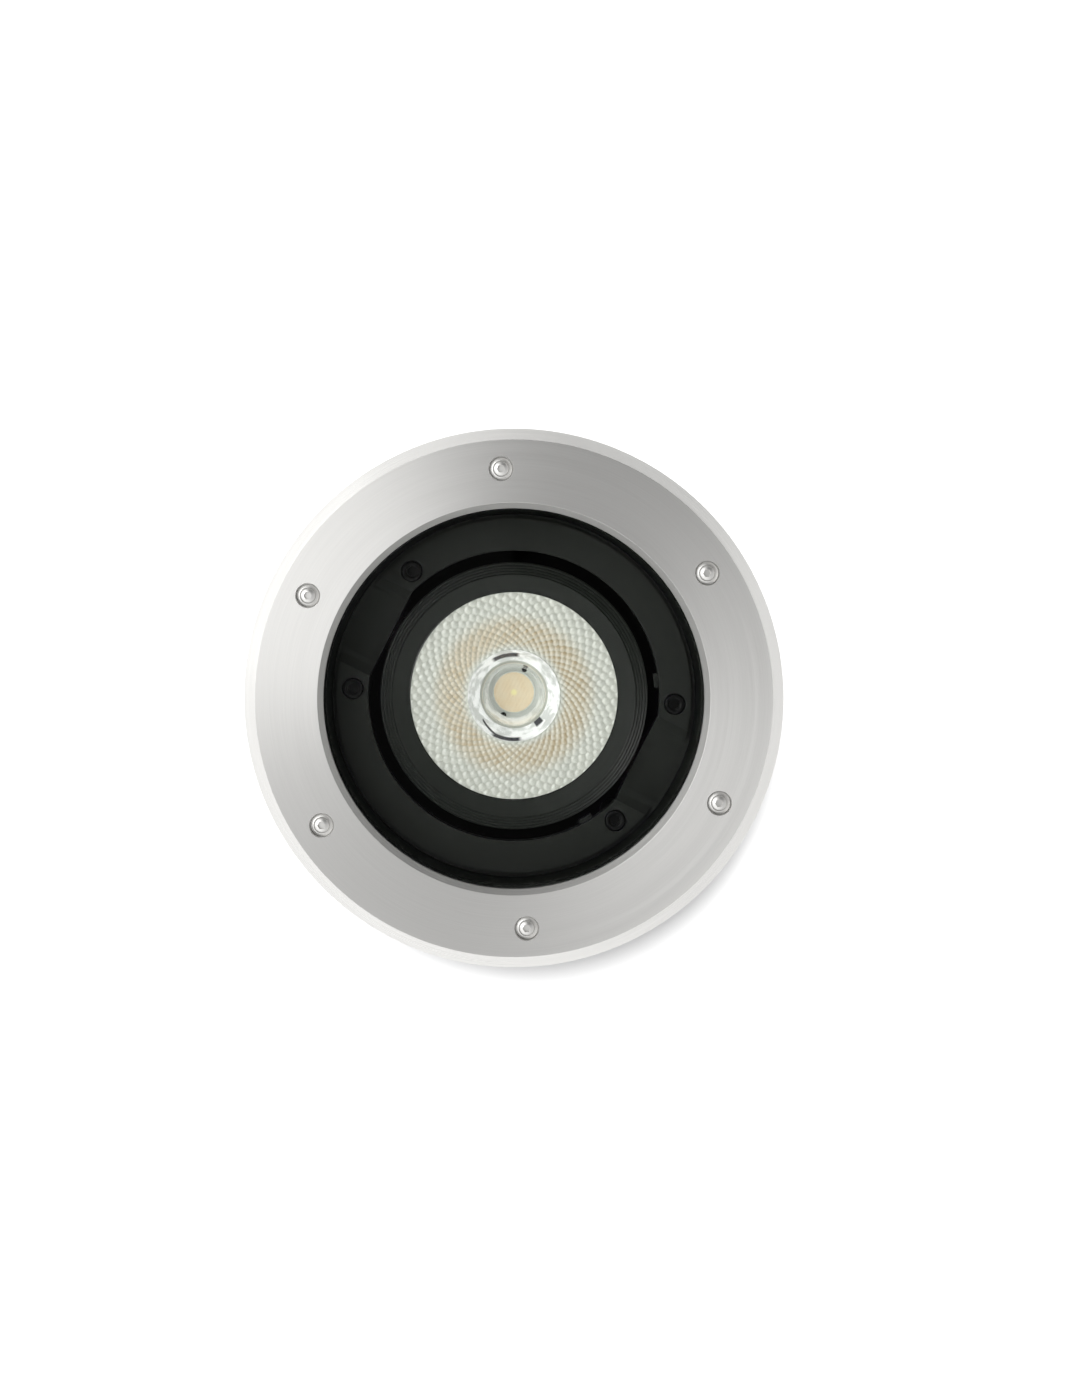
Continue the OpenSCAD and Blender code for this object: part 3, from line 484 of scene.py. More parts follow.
@once
def cast_grain():
    """Fine bumps of powder coat or moulding, with broad soft patches."""
    group, given, result = new_group(
        "cast_grain",
        [("Coordinates", VECTOR, None), ("Scale", FLOAT, 1500.0), ("Patch scale", FLOAT, 40.0)],
        [("Bumps", FLOAT), ("Patches", FLOAT)])
    feed(group, result["Bumps"], noise(group, given["Coordinates"], given["Scale"], 2.0))
    feed(group, result["Patches"], noise(group, given["Coordinates"], given["Patch scale"], 4.0))
    return group


@once
def painted_edge_highlight():
    """Mask of outer edges, where a painted highlight lightens the coat."""
    group, given, result = new_group(
        "painted_edge_highlight", [("Start", FLOAT, 0.52), ("End", FLOAT, 0.62)], [("Mask", FLOAT)])
    shape = put(group, "ShaderNodeNewGeometry")
    feed(group, result["Mask"],
         remap(group, shape.outputs["Pointiness"], given["Start"], given["End"]))
    return group


def use(tree, group, **values):
    """Places a group, with its inputs set by name."""
    made = put(tree, "ShaderNodeGroup", node_tree=group)
    for key, value in values.items():
        feed(tree, made.inputs[key.replace("_", " ").capitalize()], value)
    return made.outputs


def new_material(name, colour, roughness, **plain):
    """A material with its plain values set. Gives the material, its tree and its shader's inputs."""
    material = bpy.data.materials.new(name)
    material.use_nodes = True
    tree = material.node_tree
    shader = tree.nodes["Principled BSDF"].inputs
    shader["Base Color"].default_value = with_alpha(colour)
    shader["Roughness"].default_value = roughness
    for key, value in plain.items():
        shader[key.replace("_", " ").title().replace("Ior", "IOR")].default_value = value
    return material, tree, shader


# Materials


def scaled(colour, share):
    """A darker or lighter tone of a colour."""
    return [min(1.0, c * share) for c in colour]


@once
def brushed_steel(face, painted_light_share, roughness):
    """Circular-brushed stainless steel, made lighter or darker by a share, which is painted light."""
    colour = scaled(bpy.context.scene.spotlight_rim.steel_colour, painted_light_share)
    material, tree, shader = new_material(
        "steel_" + face, colour, roughness, metallic=1.0, anisotropic=0.9,
        anisotropic_rotation=0.25)
    grain = use(tree, turned_grain(), coordinates=object_coordinates(tree), rings=6000.0, breaks=2.5)
    streaks = remap(tree, grain["Grain"], 0.3, 0.7)
    feed(tree, shader["Base Color"],
         blended(tree, streaks, scaled(colour, 0.965), scaled(colour, 1.03)))
    feed(tree, shader["Roughness"],
         remap(tree, grain["Bands"], 0.3, 0.7, roughness - 0.015, roughness + 0.015))
    feed(tree, shader["Normal"], bump(tree, grain["Grain"], 0.0008 * MM))
    tangent = put(tree, "ShaderNodeTangent", direction_type="RADIAL", axis="Z")
    feed(tree, shader["Tangent"], tangent.outputs[0])
    return material


@once
def polished_steel():
    material, tree, shader = new_material(
        "polished_steel", (0.58, 0.575, 0.56), 0.4, metallic=1.0)
    grain = use(tree, cast_grain(), coordinates=object_coordinates(tree), scale=4000.0)
    feed(tree, shader["Roughness"], remap(tree, grain["Patches"], 0.3, 0.7, 0.34, 0.44))
    feed(tree, shader["Normal"], bump(tree, grain["Bumps"], 0.002 * MM))
    return material


@once
def socket_highlight_steel():
    """The inside of a screw's socket, which is broached. Its steel is lighter than the head's, as a
    painted highlight.
    """
    material, tree, shader = new_material("socket_highlight_steel", (0.8, 0.79, 0.77), 0.5, metallic=1.0)
    grain = use(tree, cast_grain(), coordinates=object_coordinates(tree), scale=3000.0)
    feed(tree, shader["Base Color"],
         blended(tree, grain["Bumps"], (0.6, 0.59, 0.57), (0.8, 0.79, 0.77)))
    return material


def see_through(name, colour, ior, level=0.5):
    """Clear glass or plastic that lets lamp light through without dark shadows."""
    material, tree, shader = new_material(
        name, colour, 0.0, ior=ior, transmission_weight=1.0, specular_ior_level=level)
    out = tree.nodes["Material Output"].inputs["Surface"]
    path = put(tree, "ShaderNodeLightPath").outputs
    clear = put(tree, "ShaderNodeBsdfTransparent")
    clear.inputs["Color"].default_value = with_alpha(colour)
    either = put(tree, "ShaderNodeMixShader")
    shadow = calc(tree, "MAXIMUM", path["Is Shadow Ray"], path["Is Diffuse Ray"])
    feed(tree, either.inputs[0], shadow)
    feed(tree, either.inputs[1], tree.nodes["Principled BSDF"].outputs[0])
    feed(tree, either.inputs[2], clear.outputs[0])
    feed(tree, out, either.outputs[0])
    return material


@once
def clear_glass():
    return see_through("clear_glass", (0.972, 0.985, 0.965), 1.5, level=0.12)


@once
def lens_plastic():
    return see_through("lens_plastic", (0.97, 0.98, 0.96), 1.14)


def coated(name, colour, roughness, scale, depth, wear=0.0, **plain):
    """A coated, moulded or cast surface with fine bumps and soft patches, and, where asked, a painted
    highlight on its outer edges.
    """
    material, tree, shader = new_material(name, colour, roughness, **plain)
    grain = use(tree, cast_grain(), coordinates=object_coordinates(tree), scale=scale)
    patches = remap(tree, grain["Patches"], 0.3, 0.7)
    tone = blended(tree, patches, scaled(colour, 0.86), scaled(colour, 1.18))
    # Painted highlight: the outer edges are lightened.
    if wear:
        mask = use(tree, painted_edge_highlight())["Mask"]
        painted_sheen = [min(1.0, c * 1.3 + 0.02) for c in colour]
        tone = blended(tree, calc(tree, "MULTIPLY", mask, wear), tone, painted_sheen)
    feed(tree, shader["Base Color"], tone)
    feed(tree, shader["Roughness"],
         remap(tree, grain["Patches"], 0.3, 0.7, roughness - 0.05, roughness + 0.06))
    feed(tree, shader["Normal"], bump(tree, grain["Bumps"], depth))
    return material


@once
def powder_coat():
    colour = tuple(bpy.context.scene.spotlight_head.black_colour)
    # The coat's outer edges get a painted highlight.
    return coated("powder_coat", colour, 0.5, 1400.0, 0.006 * MM, wear=0.6,
                  specular_ior_level=0.12)


@once
def turned_black():
    """Turned and anodised black of the lamp head's front, with a painted highlight along its edges."""
    colour = bpy.context.scene.spotlight_head.black_colour
    material, tree, shader = new_material("turned_black", colour, 0.42, specular_ior_level=0.26)
    grain = use(tree, turned_grain(), coordinates=object_coordinates(tree), rings=3500.0, breaks=1.5)
    tone = blended(tree, grain["Grain"], colour, scaled(colour, 1.35))
    # Painted highlight along the outer edges.
    painted_sheen = calc(tree, "MULTIPLY", use(tree, painted_edge_highlight())["Mask"], 0.5)
    feed(tree, shader["Base Color"], blended(tree, painted_sheen, tone, (0.05, 0.052, 0.05)))
    feed(tree, shader["Roughness"], remap(tree, grain["Bands"], 0.3, 0.7, 0.34, 0.48))
    feed(tree, shader["Normal"], bump(tree, grain["Grain"], 0.002 * MM))
    return material


# Plain coats: colour, roughness, scale of the bumps and their height in mm, and anything else
COATS = {
    # A lighter, glossier copy of the black coat: a painted highlight on broken edges and in sockets.
    "edge_highlight_coat": ((0.022, 0.025, 0.022), 0.4, 1400.0, 0.006, {"specular_ior_level": 0.3}),
    # black_oxide and black_nylon carry a share of painted highlight on their edges.
    "black_oxide": (
        (0.0025, 0.0025, 0.0025), 0.3, 2500.0, 0.004, {"wear": 0.1, "specular_ior_level": 0.14}),
    "rubber_014": ((0.014, 0.014, 0.014), 0.62, 1200.0, 0.02, {}),
    "rubber_016": ((0.016, 0.016, 0.016), 0.62, 1200.0, 0.02, {}),
    "rubber_030": ((0.03, 0.03, 0.03), 0.62, 1200.0, 0.02, {}),
    "black_nylon": ((0.022, 0.022, 0.024), 0.4, 900.0, 0.015, {"wear": 0.4}),
    "zinc_plated": ((0.6, 0.6, 0.58), 0.32, 2200.0, 0.006, {"metallic": 1.0}),
    "sintered_bronze": ((0.2, 0.14, 0.08), 0.5, 3000.0, 0.01, {"metallic": 1.0}),
    "plain_brass": ((0.72, 0.53, 0.22), 0.28, 2400.0, 0.006, {"metallic": 1.0}),
    "friction_fibre": ((0.03, 0.024, 0.018), 0.8, 2000.0, 0.03, {}),
    "white_plastic": ((0.7, 0.71, 0.69), 0.4, 900.0, 0.01, {}),
    "chip_ceramic": ((0.8, 0.81, 0.79), 0.5, 3000.0, 0.006, {}),
    "thermal_silicone": ((0.32, 0.38, 0.46), 0.7, 1500.0, 0.02, {}),
    "silicone_lead": ((0.72, 0.72, 0.68), 0.45, 1500.0, 0.01, {}),
    "brown_lead": ((0.16, 0.065, 0.03), 0.4, 1500.0, 0.01, {}),
    "driver_plastic": ((0.66, 0.67, 0.68), 0.45, 700.0, 0.02, {}),
    "terminal_plastic": ((0.7, 0.66, 0.52), 0.42, 900.0, 0.015, {}),
}


@once
def coat(name):
    colour, roughness, scale, depth, rest = COATS[name]
    return coated(name, colour, roughness, scale, depth * MM, **rest)


def dress(name, *nodes):
    """Gives CAD nodes that keep their shape one of the plain coats."""
    for node in nodes:
        materials = frame["nodes"][node].data.materials
        materials.clear()
        materials.append(coat(name))


@once
def phosphor():
    """The peach silicone of the light source, with faint rows of diodes, a painted highlight in the
    middle and a faint painted glow, though the lamp is off.
    """
    # The faint emission is a painted glow.
    material, tree, shader = new_material(
        "phosphor", (0.8, 0.66, 0.42), 0.35, emission_strength=0.05)
    place = object_coordinates(tree)
    radius, parts = axis_distance(tree, place)
    row_pitch = 1.5 * MM
    wave = calc(tree, "SINE", calc(tree, "MULTIPLY", parts["X"], TURN / row_pitch))
    rows = calc(tree, "MULTIPLY", calc(tree, "ADD", wave, 1.0), 0.15)
    grain = use(tree, cast_grain(), coordinates=place, scale=1200.0, patch_scale=250.0)
    tone = blended(tree, rows, (0.84, 0.68, 0.5), (0.7, 0.53, 0.35))
    mottle = remap(tree, grain["Patches"], 0.35, 0.65, 0.0, 0.35)
    tone = blended(tree, mottle, tone, (0.9, 0.8, 0.66))
    # Painted highlight in the middle.
    middle = remap(tree, radius, 0.6 * MM, 1.8 * MM, 1.0, 0.0)
    tone = blended(tree, middle, tone, (0.95, 0.85, 0.48))
    feed(tree, shader["Base Color"], tone)
    feed(tree, shader["Emission Color"], tone)
    feed(tree, shader["Normal"], bump(tree, grain["Bumps"], 0.01 * MM))
    return material


@once
def faceted_plastic():
    """Clear moulded facets over the source: pale at the edge, with the amber round the well a painted
    refraction of the source, and painted shade in the creases between facets.
    """
    settings = bpy.context.scene.spotlight_optic
    material, tree, shader = new_material(
        "faceted_plastic", settings.pale_colour, 0.3, coat_weight=1.0, coat_roughness=0.1,
        coat_ior=1.9)
    facet = put(tree, "ShaderNodeAttribute", attribute_name="facet")
    parts = put(tree, "ShaderNodeSeparateColor")
    feed(tree, parts.inputs[0], facet.outputs["Color"])
    seam, tint, across = parts.outputs
    along = facet.outputs["Alpha"]
    radius = axis_distance(tree, object_coordinates(tree))[0]
    # The amber band is a painted refraction of the yellow source.
    start = remap(tree, radius, settings.well_radius, settings.well_radius + 4 * MM)
    end = remap(tree, radius, 29 * MM, 38 * MM, 1.0, 0.0)
    band = calc(tree, "MULTIPLY", start, end)
    streak = remap(tree, calc(tree, "ADD", across, along), 0.75, 1.35)
    painted_source_image = calc(tree, "MULTIPLY", band, calc(tree, "ADD", calc(tree, "MULTIPLY", streak, 0.3), 0.7))
    tone = blended(tree, painted_source_image, settings.pale_colour, settings.amber_colour)
    shade = remap(tree, tint, 0.0, 1.0, 0.0, 0.3, kind="LINEAR")
    tone = blended(tree, shade, tone, (0.8, 0.8, 0.74))
    # Painted shade in the creases between the facets.
    edge = calc(tree, "MULTIPLY", calc(tree, "MULTIPLY", seam, seam), 0.3)
    feed(tree, shader["Base Color"], blended(tree, edge, tone, (0.22, 0.22, 0.17)))
    return material


@once
def painted_wall_reflection():
    """Mask of a curved streak on the well's wall, a painted reflection of something dark."""
    group, given, result = new_group(
        "painted_wall_reflection",
        [("Coordinates", VECTOR, None), ("Angle", FLOAT, 0.0), ("Reach", FLOAT, 0.3),
         ("Height", FLOAT, 0.0), ("Slant", FLOAT, 0.0), ("Thickness", FLOAT, 0.001)],
        [("Mask", FLOAT)])
    parts = put(group, "ShaderNodeSeparateXYZ")
    feed(group, parts.inputs[0], given["Coordinates"])
    turn = calc(group, "ARCTAN2", parts.outputs["Y"], parts.outputs["X"])
    off = calc(group, "SUBTRACT", turn, given["Angle"])
    end = calc(group, "COSINE", given["Reach"])
    full = calc(group, "COSINE", calc(group, "MULTIPLY", given["Reach"], 0.7))
    along = remap(group, calc(group, "COSINE", off), end, full)
    rise = calc(group, "MULTIPLY", calc(group, "SINE", off), given["Slant"])
    middle = calc(group, "ADD", given["Height"], rise)
    gap = calc(group, "ABSOLUTE", calc(group, "SUBTRACT", parts.outputs["Z"], middle))
    thin = calc(group, "MULTIPLY", given["Thickness"], 0.5)
    feed(group, result["Mask"],
         calc(group, "MULTIPLY", along, remap(group, gap, thin, given["Thickness"], 1.0, 0.0)))
    return group


# Painted reflections of dark things, as streaks in the well: angle and half-length in degrees, then
# height, slant and thickness in mm
DARK_REFLECTIONS = (
    (128.5, 22, -36.2, 0, 3.2), (286.5, 22, -32.8, 0, 2.4), (258.5, 16, -35.5, 8.3, 1.2),
    (339, 8, -40.7, 0, 4.0))


@once
def well_wall():
    """The well's wall, white with a painted glow that stands in for the light within the plastic, and
    with painted reflections of the room as dark streaks.
    """
    # The emission is a painted glow.
    material, tree, shader = new_material(
        "well_wall", (0.9, 0.9, 0.9), 0.25, coat_weight=1.0, coat_roughness=0.06,
        emission_strength=0.3, specular_ior_level=0.2)
    place = object_coordinates(tree)
    grain = use(tree, cast_grain(), coordinates=place, scale=600.0, patch_scale=160.0)
    tone = blended(
        tree, remap(tree, grain["Patches"], 0.4, 0.58), (0.6, 0.61, 0.61), (0.97, 0.97, 0.99))
    # Painted dark reflections, gathered into one mask.
    dark = 0.0
    for angle, half, height, slant, thickness in DARK_REFLECTIONS:
        mask = use(
            tree, painted_wall_reflection(), coordinates=place, angle=math.radians(angle),
            reach=math.radians(half), height=height * MM, slant=slant * MM,
            thickness=thickness * MM)["Mask"]
        dark = calc(tree, "MAXIMUM", dark, mask)
    tone = blended(tree, dark, tone, (0.03, 0.03, 0.04))
    feed(tree, shader["Coat Weight"], calc(tree, "SUBTRACT", 1.0, dark))
    feed(tree, shader["Base Color"], tone)
    feed(tree, shader["Emission Color"], tone)
    feed(tree, shader["Normal"], bump(tree, grain["Patches"], 0.15 * MM))
    return material


# Pieces

# Screw sizes: the rim's domed heads, the cradle ring's cap heads, and the shank of both
DOMED_RADIUS, DOMED_HEIGHT, DOMED_SOCKET = 4.75 * MM, 2.75 * MM, 3 * MM
CAP_RADIUS, CAP_HEIGHT, CAP_SOCKET = 4.25 * MM, 5 * MM, 4 * MM
SHANK_RADIUS = 2.5 * MM
CRADLE_SCREW_CIRCLE, CRADLE_SCREW_ANGLE = 70.2 * MM, math.radians(24)

# The rim's materials by their index. Its face has the first one
RIM_BEVEL, RIM_OPENING, RIM_SINKING = 1, 2, 3


def carried_piece(name, node, width, material, body, segments=2):
    """A piece with a CAD node's own shape and broken edges. The width is in millimetres."""
    bm = break_edges(carried(node), width * MM, segments)
    piece(name, bm, [material], body, [node])


class PieceOperator:
    """What the operators share."""

    bl_options = {"REGISTER", "UNDO"}


class SPOTLIGHT_OT_rim(PieceOperator, bpy.types.Operator):
    """Brushed stainless rim with its sinkings"""

    bl_idname = "spotlight.rim"
    bl_label = "Rim"

    def execute(self, context):
        size = context.scene.spotlight_rim
        outer, height = reach("rim"), top("rim")
        bore = reach("glass") - size.lip
        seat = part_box("body")[1].x + 1.5 * MM
        hole = 2.75 * MM
        wall = DOMED_RADIUS + 0.2 * MM
        mouth = DOMED_RADIUS + 0.5 * MM + 0.1 * MM
        floor = height - 2.85 * MM
        outline = rounded([
            (bore, size.recess, 0.12 * MM), (seat, size.recess, 0), (seat, 0, 0),
            (outer, 0, 0.15 * MM), (outer, size.edge_height, 0.25 * MM),
            (outer - size.bevel_width, height, 0.18 * MM), (bore + size.chamfer, height, 0.2 * MM),
            (bore, height - size.chamfer_drop, 0.12 * MM)])
        bm = lathe(outline, 288)
        above = height + 0.1 * MM
        sinking = lathe([
            (0, -MM), (hole, -MM), (hole, floor), (wall, floor), (wall, height - MM),
            (mouth, above), (0, above)], 64)
        for face in sinking.faces:
            face.material_index = RIM_SINKING
        bm = cut(bm, copies(sinking, round_places(size.screw_count, size.screw_circle)))
        for face in bm.faces:
            r = face.calc_center_median().xy.length
            if face.material_index == RIM_SINKING:
                continue
            if r > outer - size.bevel_width:
                face.material_index = RIM_BEVEL
            elif r < bore + size.chamfer:
                face.material_index = RIM_OPENING
        # Lit and shaded copies of one steel: the bevel is painted lighter and the opening's slope painted
        # darker.
        finishes = [
            brushed_steel("face", 1.0, 0.34), brushed_steel("bevel", 1.15, 0.26),
            brushed_steel("opening", 0.58, 0.3), polished_steel()]
        piece("brushed_rim", bm, finishes, "housing", ["rim"])
        return {"FINISHED"}


def button_head(radius, height, shank_r, shank_l, socket):
    """Domed screw whose head stands on height 0, with a flange and a hexagonal socket."""
    flange = 0.5 * height
    steps = 8
    dome = [
        (0.72 * radius * math.cos(a), flange + (height - flange) * math.sin(a))
        for a in (0.25 * TURN * i / steps for i in range(steps))]
    bm = lathe(
        [(0, -shank_l), (shank_r - 0.4 * MM, -shank_l), (shank_r, 0.4 * MM - shank_l), (shank_r, 0),
         (radius, 0), (radius, flange - 0.5 * MM), (radius - 0.3 * MM, flange - 0.3 * MM), *dome,
         (0, height)], 48)
    return cut(bm, prism(6, socket / math.sqrt(3), 0.45 * height, height + MM))


def cap_head(radius, height, shank_r, shank_l, socket):
    """Cap screw whose head stands on height 0, with a hexagonal socket."""
    edge = 0.35 * MM
    bm = lathe(
        rounded([
            (0, -shank_l, 0), (shank_r, -shank_l, 0.3 * MM), (shank_r, 0, 0), (radius, 0, 0),
            (radius, height, edge), (socket * 0.75, height, 0.1 * MM),
            (socket * 0.62, height - 0.35 * MM, 0), (0, height - 0.35 * MM, 0)]), 48)
    return cut(bm, prism(6, socket / math.sqrt(3), 0.45 * height, height + MM))


def colour_sockets(bm, radius, low):
    """Gives the faces inside the sockets the second material."""
    for face in bm.faces:
        middle = face.calc_center_median()
        inside = middle.xy.length < radius and middle.z > low
        face.material_index = 1 if inside and abs(face.normal.z) < 0.9 else 0


class SPOTLIGHT_OT_rim_screws(PieceOperator, bpy.types.Operator):
    """Domed screws that hold the rim"""

    bl_idname = "spotlight.rim_screws"
    bl_label = "Rim screws"

    def execute(self, context):
        size = context.scene.spotlight_rim
        low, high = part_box("rim_screws")
        seat = high.z - DOMED_HEIGHT
        bm = button_head(DOMED_RADIUS, DOMED_HEIGHT, SHANK_RADIUS, seat - low.z, DOMED_SOCKET)
        # The socket walls take the lighter steel, a painted highlight.
        colour_sockets(bm, 1.8 * MM, 0.4 * DOMED_HEIGHT)
        bm = copies(bm, round_places(size.screw_count, size.screw_circle, seat))
        piece("domed_screws", bm, [polished_steel(), socket_highlight_steel()], "housing",
              ["rim_screws"])
        return {"FINISHED"}


class SPOTLIGHT_OT_glass(PieceOperator, bpy.types.Operator):
    """Clear glass and the rubber channel round it"""

    bl_idname = "spotlight.glass"
    bl_label = "Glass"

    def execute(self, context):
        r, low, high = reach("glass"), bottom("glass"), top("glass")
        edge = 0.6 * MM
        pane = lathe(rounded(
            [(0, low, 0), (r, low, edge), (r, high, edge), (0, high, 0)]), 192)
        piece("clear_pane", pane, [clear_glass()], "housing", ["glass"])
        outer, under, over = reach("glass_gasket"), bottom("glass_gasket"), top("glass_gasket")
        inner = r - context.scene.spotlight_rim.lip + 0.8 * MM
        soft = 0.3 * MM
        channel = lathe(rounded([
            (inner, under, soft), (outer, under, soft), (outer, over, soft), (inner, over, soft),
            (inner, high, soft), (r, high, soft), (r, low, soft), (inner, low, soft)]), 192)
        piece("glass_channel", channel, [coat("rubber_014")], "housing",
              ["glass_gasket"])
        return {"FINISHED"}


class SPOTLIGHT_OT_body(PieceOperator, bpy.types.Operator):
    """Cast body below the ground"""

    bl_idname = "spotlight.body"
    bl_label = "Body"

    def execute(self, context):
        carried_piece("cast_body", "body", 0.7, powder_coat(), "housing")
        return {"FINISHED"}


class SPOTLIGHT_OT_cradle(PieceOperator, bpy.types.Operator):
    """Ring with two saddles that carries the lamp head's pivots"""

    bl_idname = "spotlight.cradle"
    bl_label = "Cradle ring"

    def execute(self, context):
        # The ring's broken edges take the painted highlight coat.
        ring = break_edges(carried("cradle_ring"), 0.55 * MM, finish=1)
        piece("saddle_ring", ring, [powder_coat(), coat("edge_highlight_coat")], "housing",
              ["cradle_ring"])
        low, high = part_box("cradle_screws")
        seat = high.z - CAP_HEIGHT
        screw = cap_head(CAP_RADIUS, CAP_HEIGHT, SHANK_RADIUS, seat - low.z, CAP_SOCKET)
        # The socket walls take the painted highlight coat.
        colour_sockets(screw, 2.6 * MM, 0.4 * CAP_HEIGHT)
        out = Matrix.Translation((CRADLE_SCREW_CIRCLE, 0, seat))
        places = [
            Matrix.Rotation(end + side * CRADLE_SCREW_ANGLE, 4, "Z") @ out
            for end in (0, math.pi) for side in (-1, 1)]
        piece("cap_screws", copies(screw, places), [coat("black_oxide"), coat("edge_highlight_coat")],
              "housing", ["cradle_screws"])
        dress("sintered_bronze", "pivot_bushes")
        return {"FINISHED"}


class SPOTLIGHT_OT_front_ring(PieceOperator, bpy.types.Operator):
    """Grooved black ring round the optic"""

    bl_idname = "spotlight.front_ring"
    bl_label = "Front ring"

    def execute(self, context):
        size = context.scene.spotlight_head
        outer, face, low = reach("front_ring"), top("front_ring"), bottom("front_ring")
        optic_r, optic_top = reach("optic"), top("optic")
        inner = optic_r - size.lip_width
        step = size.slope_width / (2 * size.groove_count + 1)
        slope = size.slope_drop / size.slope_width
        start = outer - size.slope_width
        lip_z = face - size.dish
        grooves = []
        for i in range(size.groove_count):
            for along, depth in ((0, 0), (0.7, 1), (1, 0)):
                x = (2 * i + 0.4 + along) * step
                grooves.append((start + x, face - slope * x - depth * size.groove_depth, 0))
        pocket = optic_r + 0.3 * MM
        neck = bottom("optic_seal")
        thread = outer - 4.7 * MM
        outline = rounded([
            (inner, optic_top, 0), (inner, lip_z - 0.4 * MM, 0.1 * MM),
            (inner + 0.5 * MM, lip_z, 0.15 * MM), (start, face, 0), *grooves,
            (outer, face - size.slope_drop, 0.7 * MM),
            (outer, low, 0), (thread, low, 0), (thread, neck, 0), (pocket, neck, 0),
            (pocket, optic_top, 0)])
        bm = lathe(outline, 256)
        piece("grooved_ring", bm, [turned_black()], "head", ["front_ring"])
        return {"FINISHED"}


def facet_centres(size, outer):
    """Centres of the facets. Every other ring is turned by half a facet, and the rings widen outwards."""
    centres = []
    radius, shift = size.well_radius - size.facet_gap, 0.0
    while radius < outer + size.facet_gap:
        for i in range(size.facet_count):
            turn = Matrix.Rotation(TURN * (i + shift) / size.facet_count, 3, "Z")
            centres.append(turn @ Vector((radius, 0, 0)))
        radius += size.facet_gap * math.sqrt(radius / outer)
        shift = 0.5 - shift
    return centres


def raise_facets(bm, verts, size, outer, top_z):
    """Moves the face's points to the facets' domes and notes each point's place in its facet."""
    centres = facet_centres(size, outer)
    tree = KDTree(len(centres))
    for i, centre in enumerate(centres):
        tree.insert(centre, i)
    tree.balance()
    draws = random.Random(7)
    tints = [draws.random() for _ in centres]
    layer = bm.verts.layers.float_color["facet"]
    for vert in verts:
        flat = Vector((vert.co.x, vert.co.y, 0))
        (centre, index, near), (_, _, far) = tree.find_n(flat, 2)
        reach_out = 0.9 * size.facet_gap * math.sqrt(flat.length / outer)
        outwards = centre.normalized()
        sideways = Vector((-outwards.y, outwards.x, 0))
        offset = flat - centre
        seam = max(0.0, 1 - (far - near) / (0.55 * reach_out))
        vert[layer] = (
            seam, tints[index], 0.5 + 0.5 * offset.dot(outwards) / reach_out,
            0.5 + 0.5 * offset.dot(sideways) / reach_out)
        vert.co.z = top_z - size.facet_height * min(1.0, near / reach_out) ** 2


class SPOTLIGHT_OT_optic(PieceOperator, bpy.types.Operator):
    """Faceted optic with its well and small lens"""

    bl_idname = "spotlight.optic"
    bl_label = "Optic"

    def execute(self, context):
        size = context.scene.spotlight_optic
        outer, high, low = reach("optic"), top("optic"), bottom("optic")
        edge = 0.4 * MM
        face_r = outer - edge
        flange_low = high - 2.6 * MM
        well_z = high - size.well_depth
        back_steps, face_steps, wall_steps, lens_steps = 10, 84, 6, 10
        back_r, back_growth = 13 * MM, outer - 14.3 * MM
        mouth_r, mouth_h = 10.4 * MM, 2.5 * MM
        back = [
            (back_r + back_growth * (i / back_steps) ** 0.8,
             low + (flange_low - low) * i / back_steps)
            for i in range(back_steps + 1)]
        wall = [
            (size.well_radius + (size.well_floor_radius - size.well_radius) * i / wall_steps,
             high - size.well_depth * i / wall_steps)
            for i in range(1, wall_steps + 1)]
        face = [
            (face_r + (size.well_radius - face_r) * i / face_steps, high)
            for i in range(face_steps + 1)]
        shell = lathe(
            [*back, (outer, flange_low), (outer, high - edge), *face, *wall,
             (size.lens_radius, well_z), (size.lens_radius - 0.3 * MM, well_z - 2 * MM),
             (mouth_r, low + mouth_h), (mouth_r, low)], 640, sectors=32)
        shell.verts.layers.float_color.new("facet")
        facing = [v for v in shell.verts if v.co.z > high - 0.01 * MM
                  and v.co.xy.length > size.well_radius + 0.1 * MM]
        for f in shell.faces:
            middle = f.calc_center_median()
            inside = middle.xy.length < size.well_radius and middle.z < high - 0.2 * MM
            deep = middle.z < well_z + 0.1 * MM and middle.xy.length > size.lens_radius + 0.2 * MM
            f.material_index = 1 if inside and not deep else 0
        raise_facets(shell, facing, size, outer, high)
        piece("faceted_optic", shell, [faceted_plastic(), well_wall()], "head",
              ["optic"], sharp=math.radians(50))
        dome = [
            (size.lens_radius * math.cos(a), well_z + size.lens_rise * math.sin(a))
            for a in (0.25 * TURN * i / lens_steps for i in range(lens_steps + 1))]
        foot = well_z - 1.5 * MM
        lens = lathe([*dome, (0, foot), (size.lens_radius - 0.4 * MM, foot)], 96)
        piece("well_lens", lens, [lens_plastic()], "head")
        dress("rubber_014", "optic_seal")
        return {"FINISHED"}


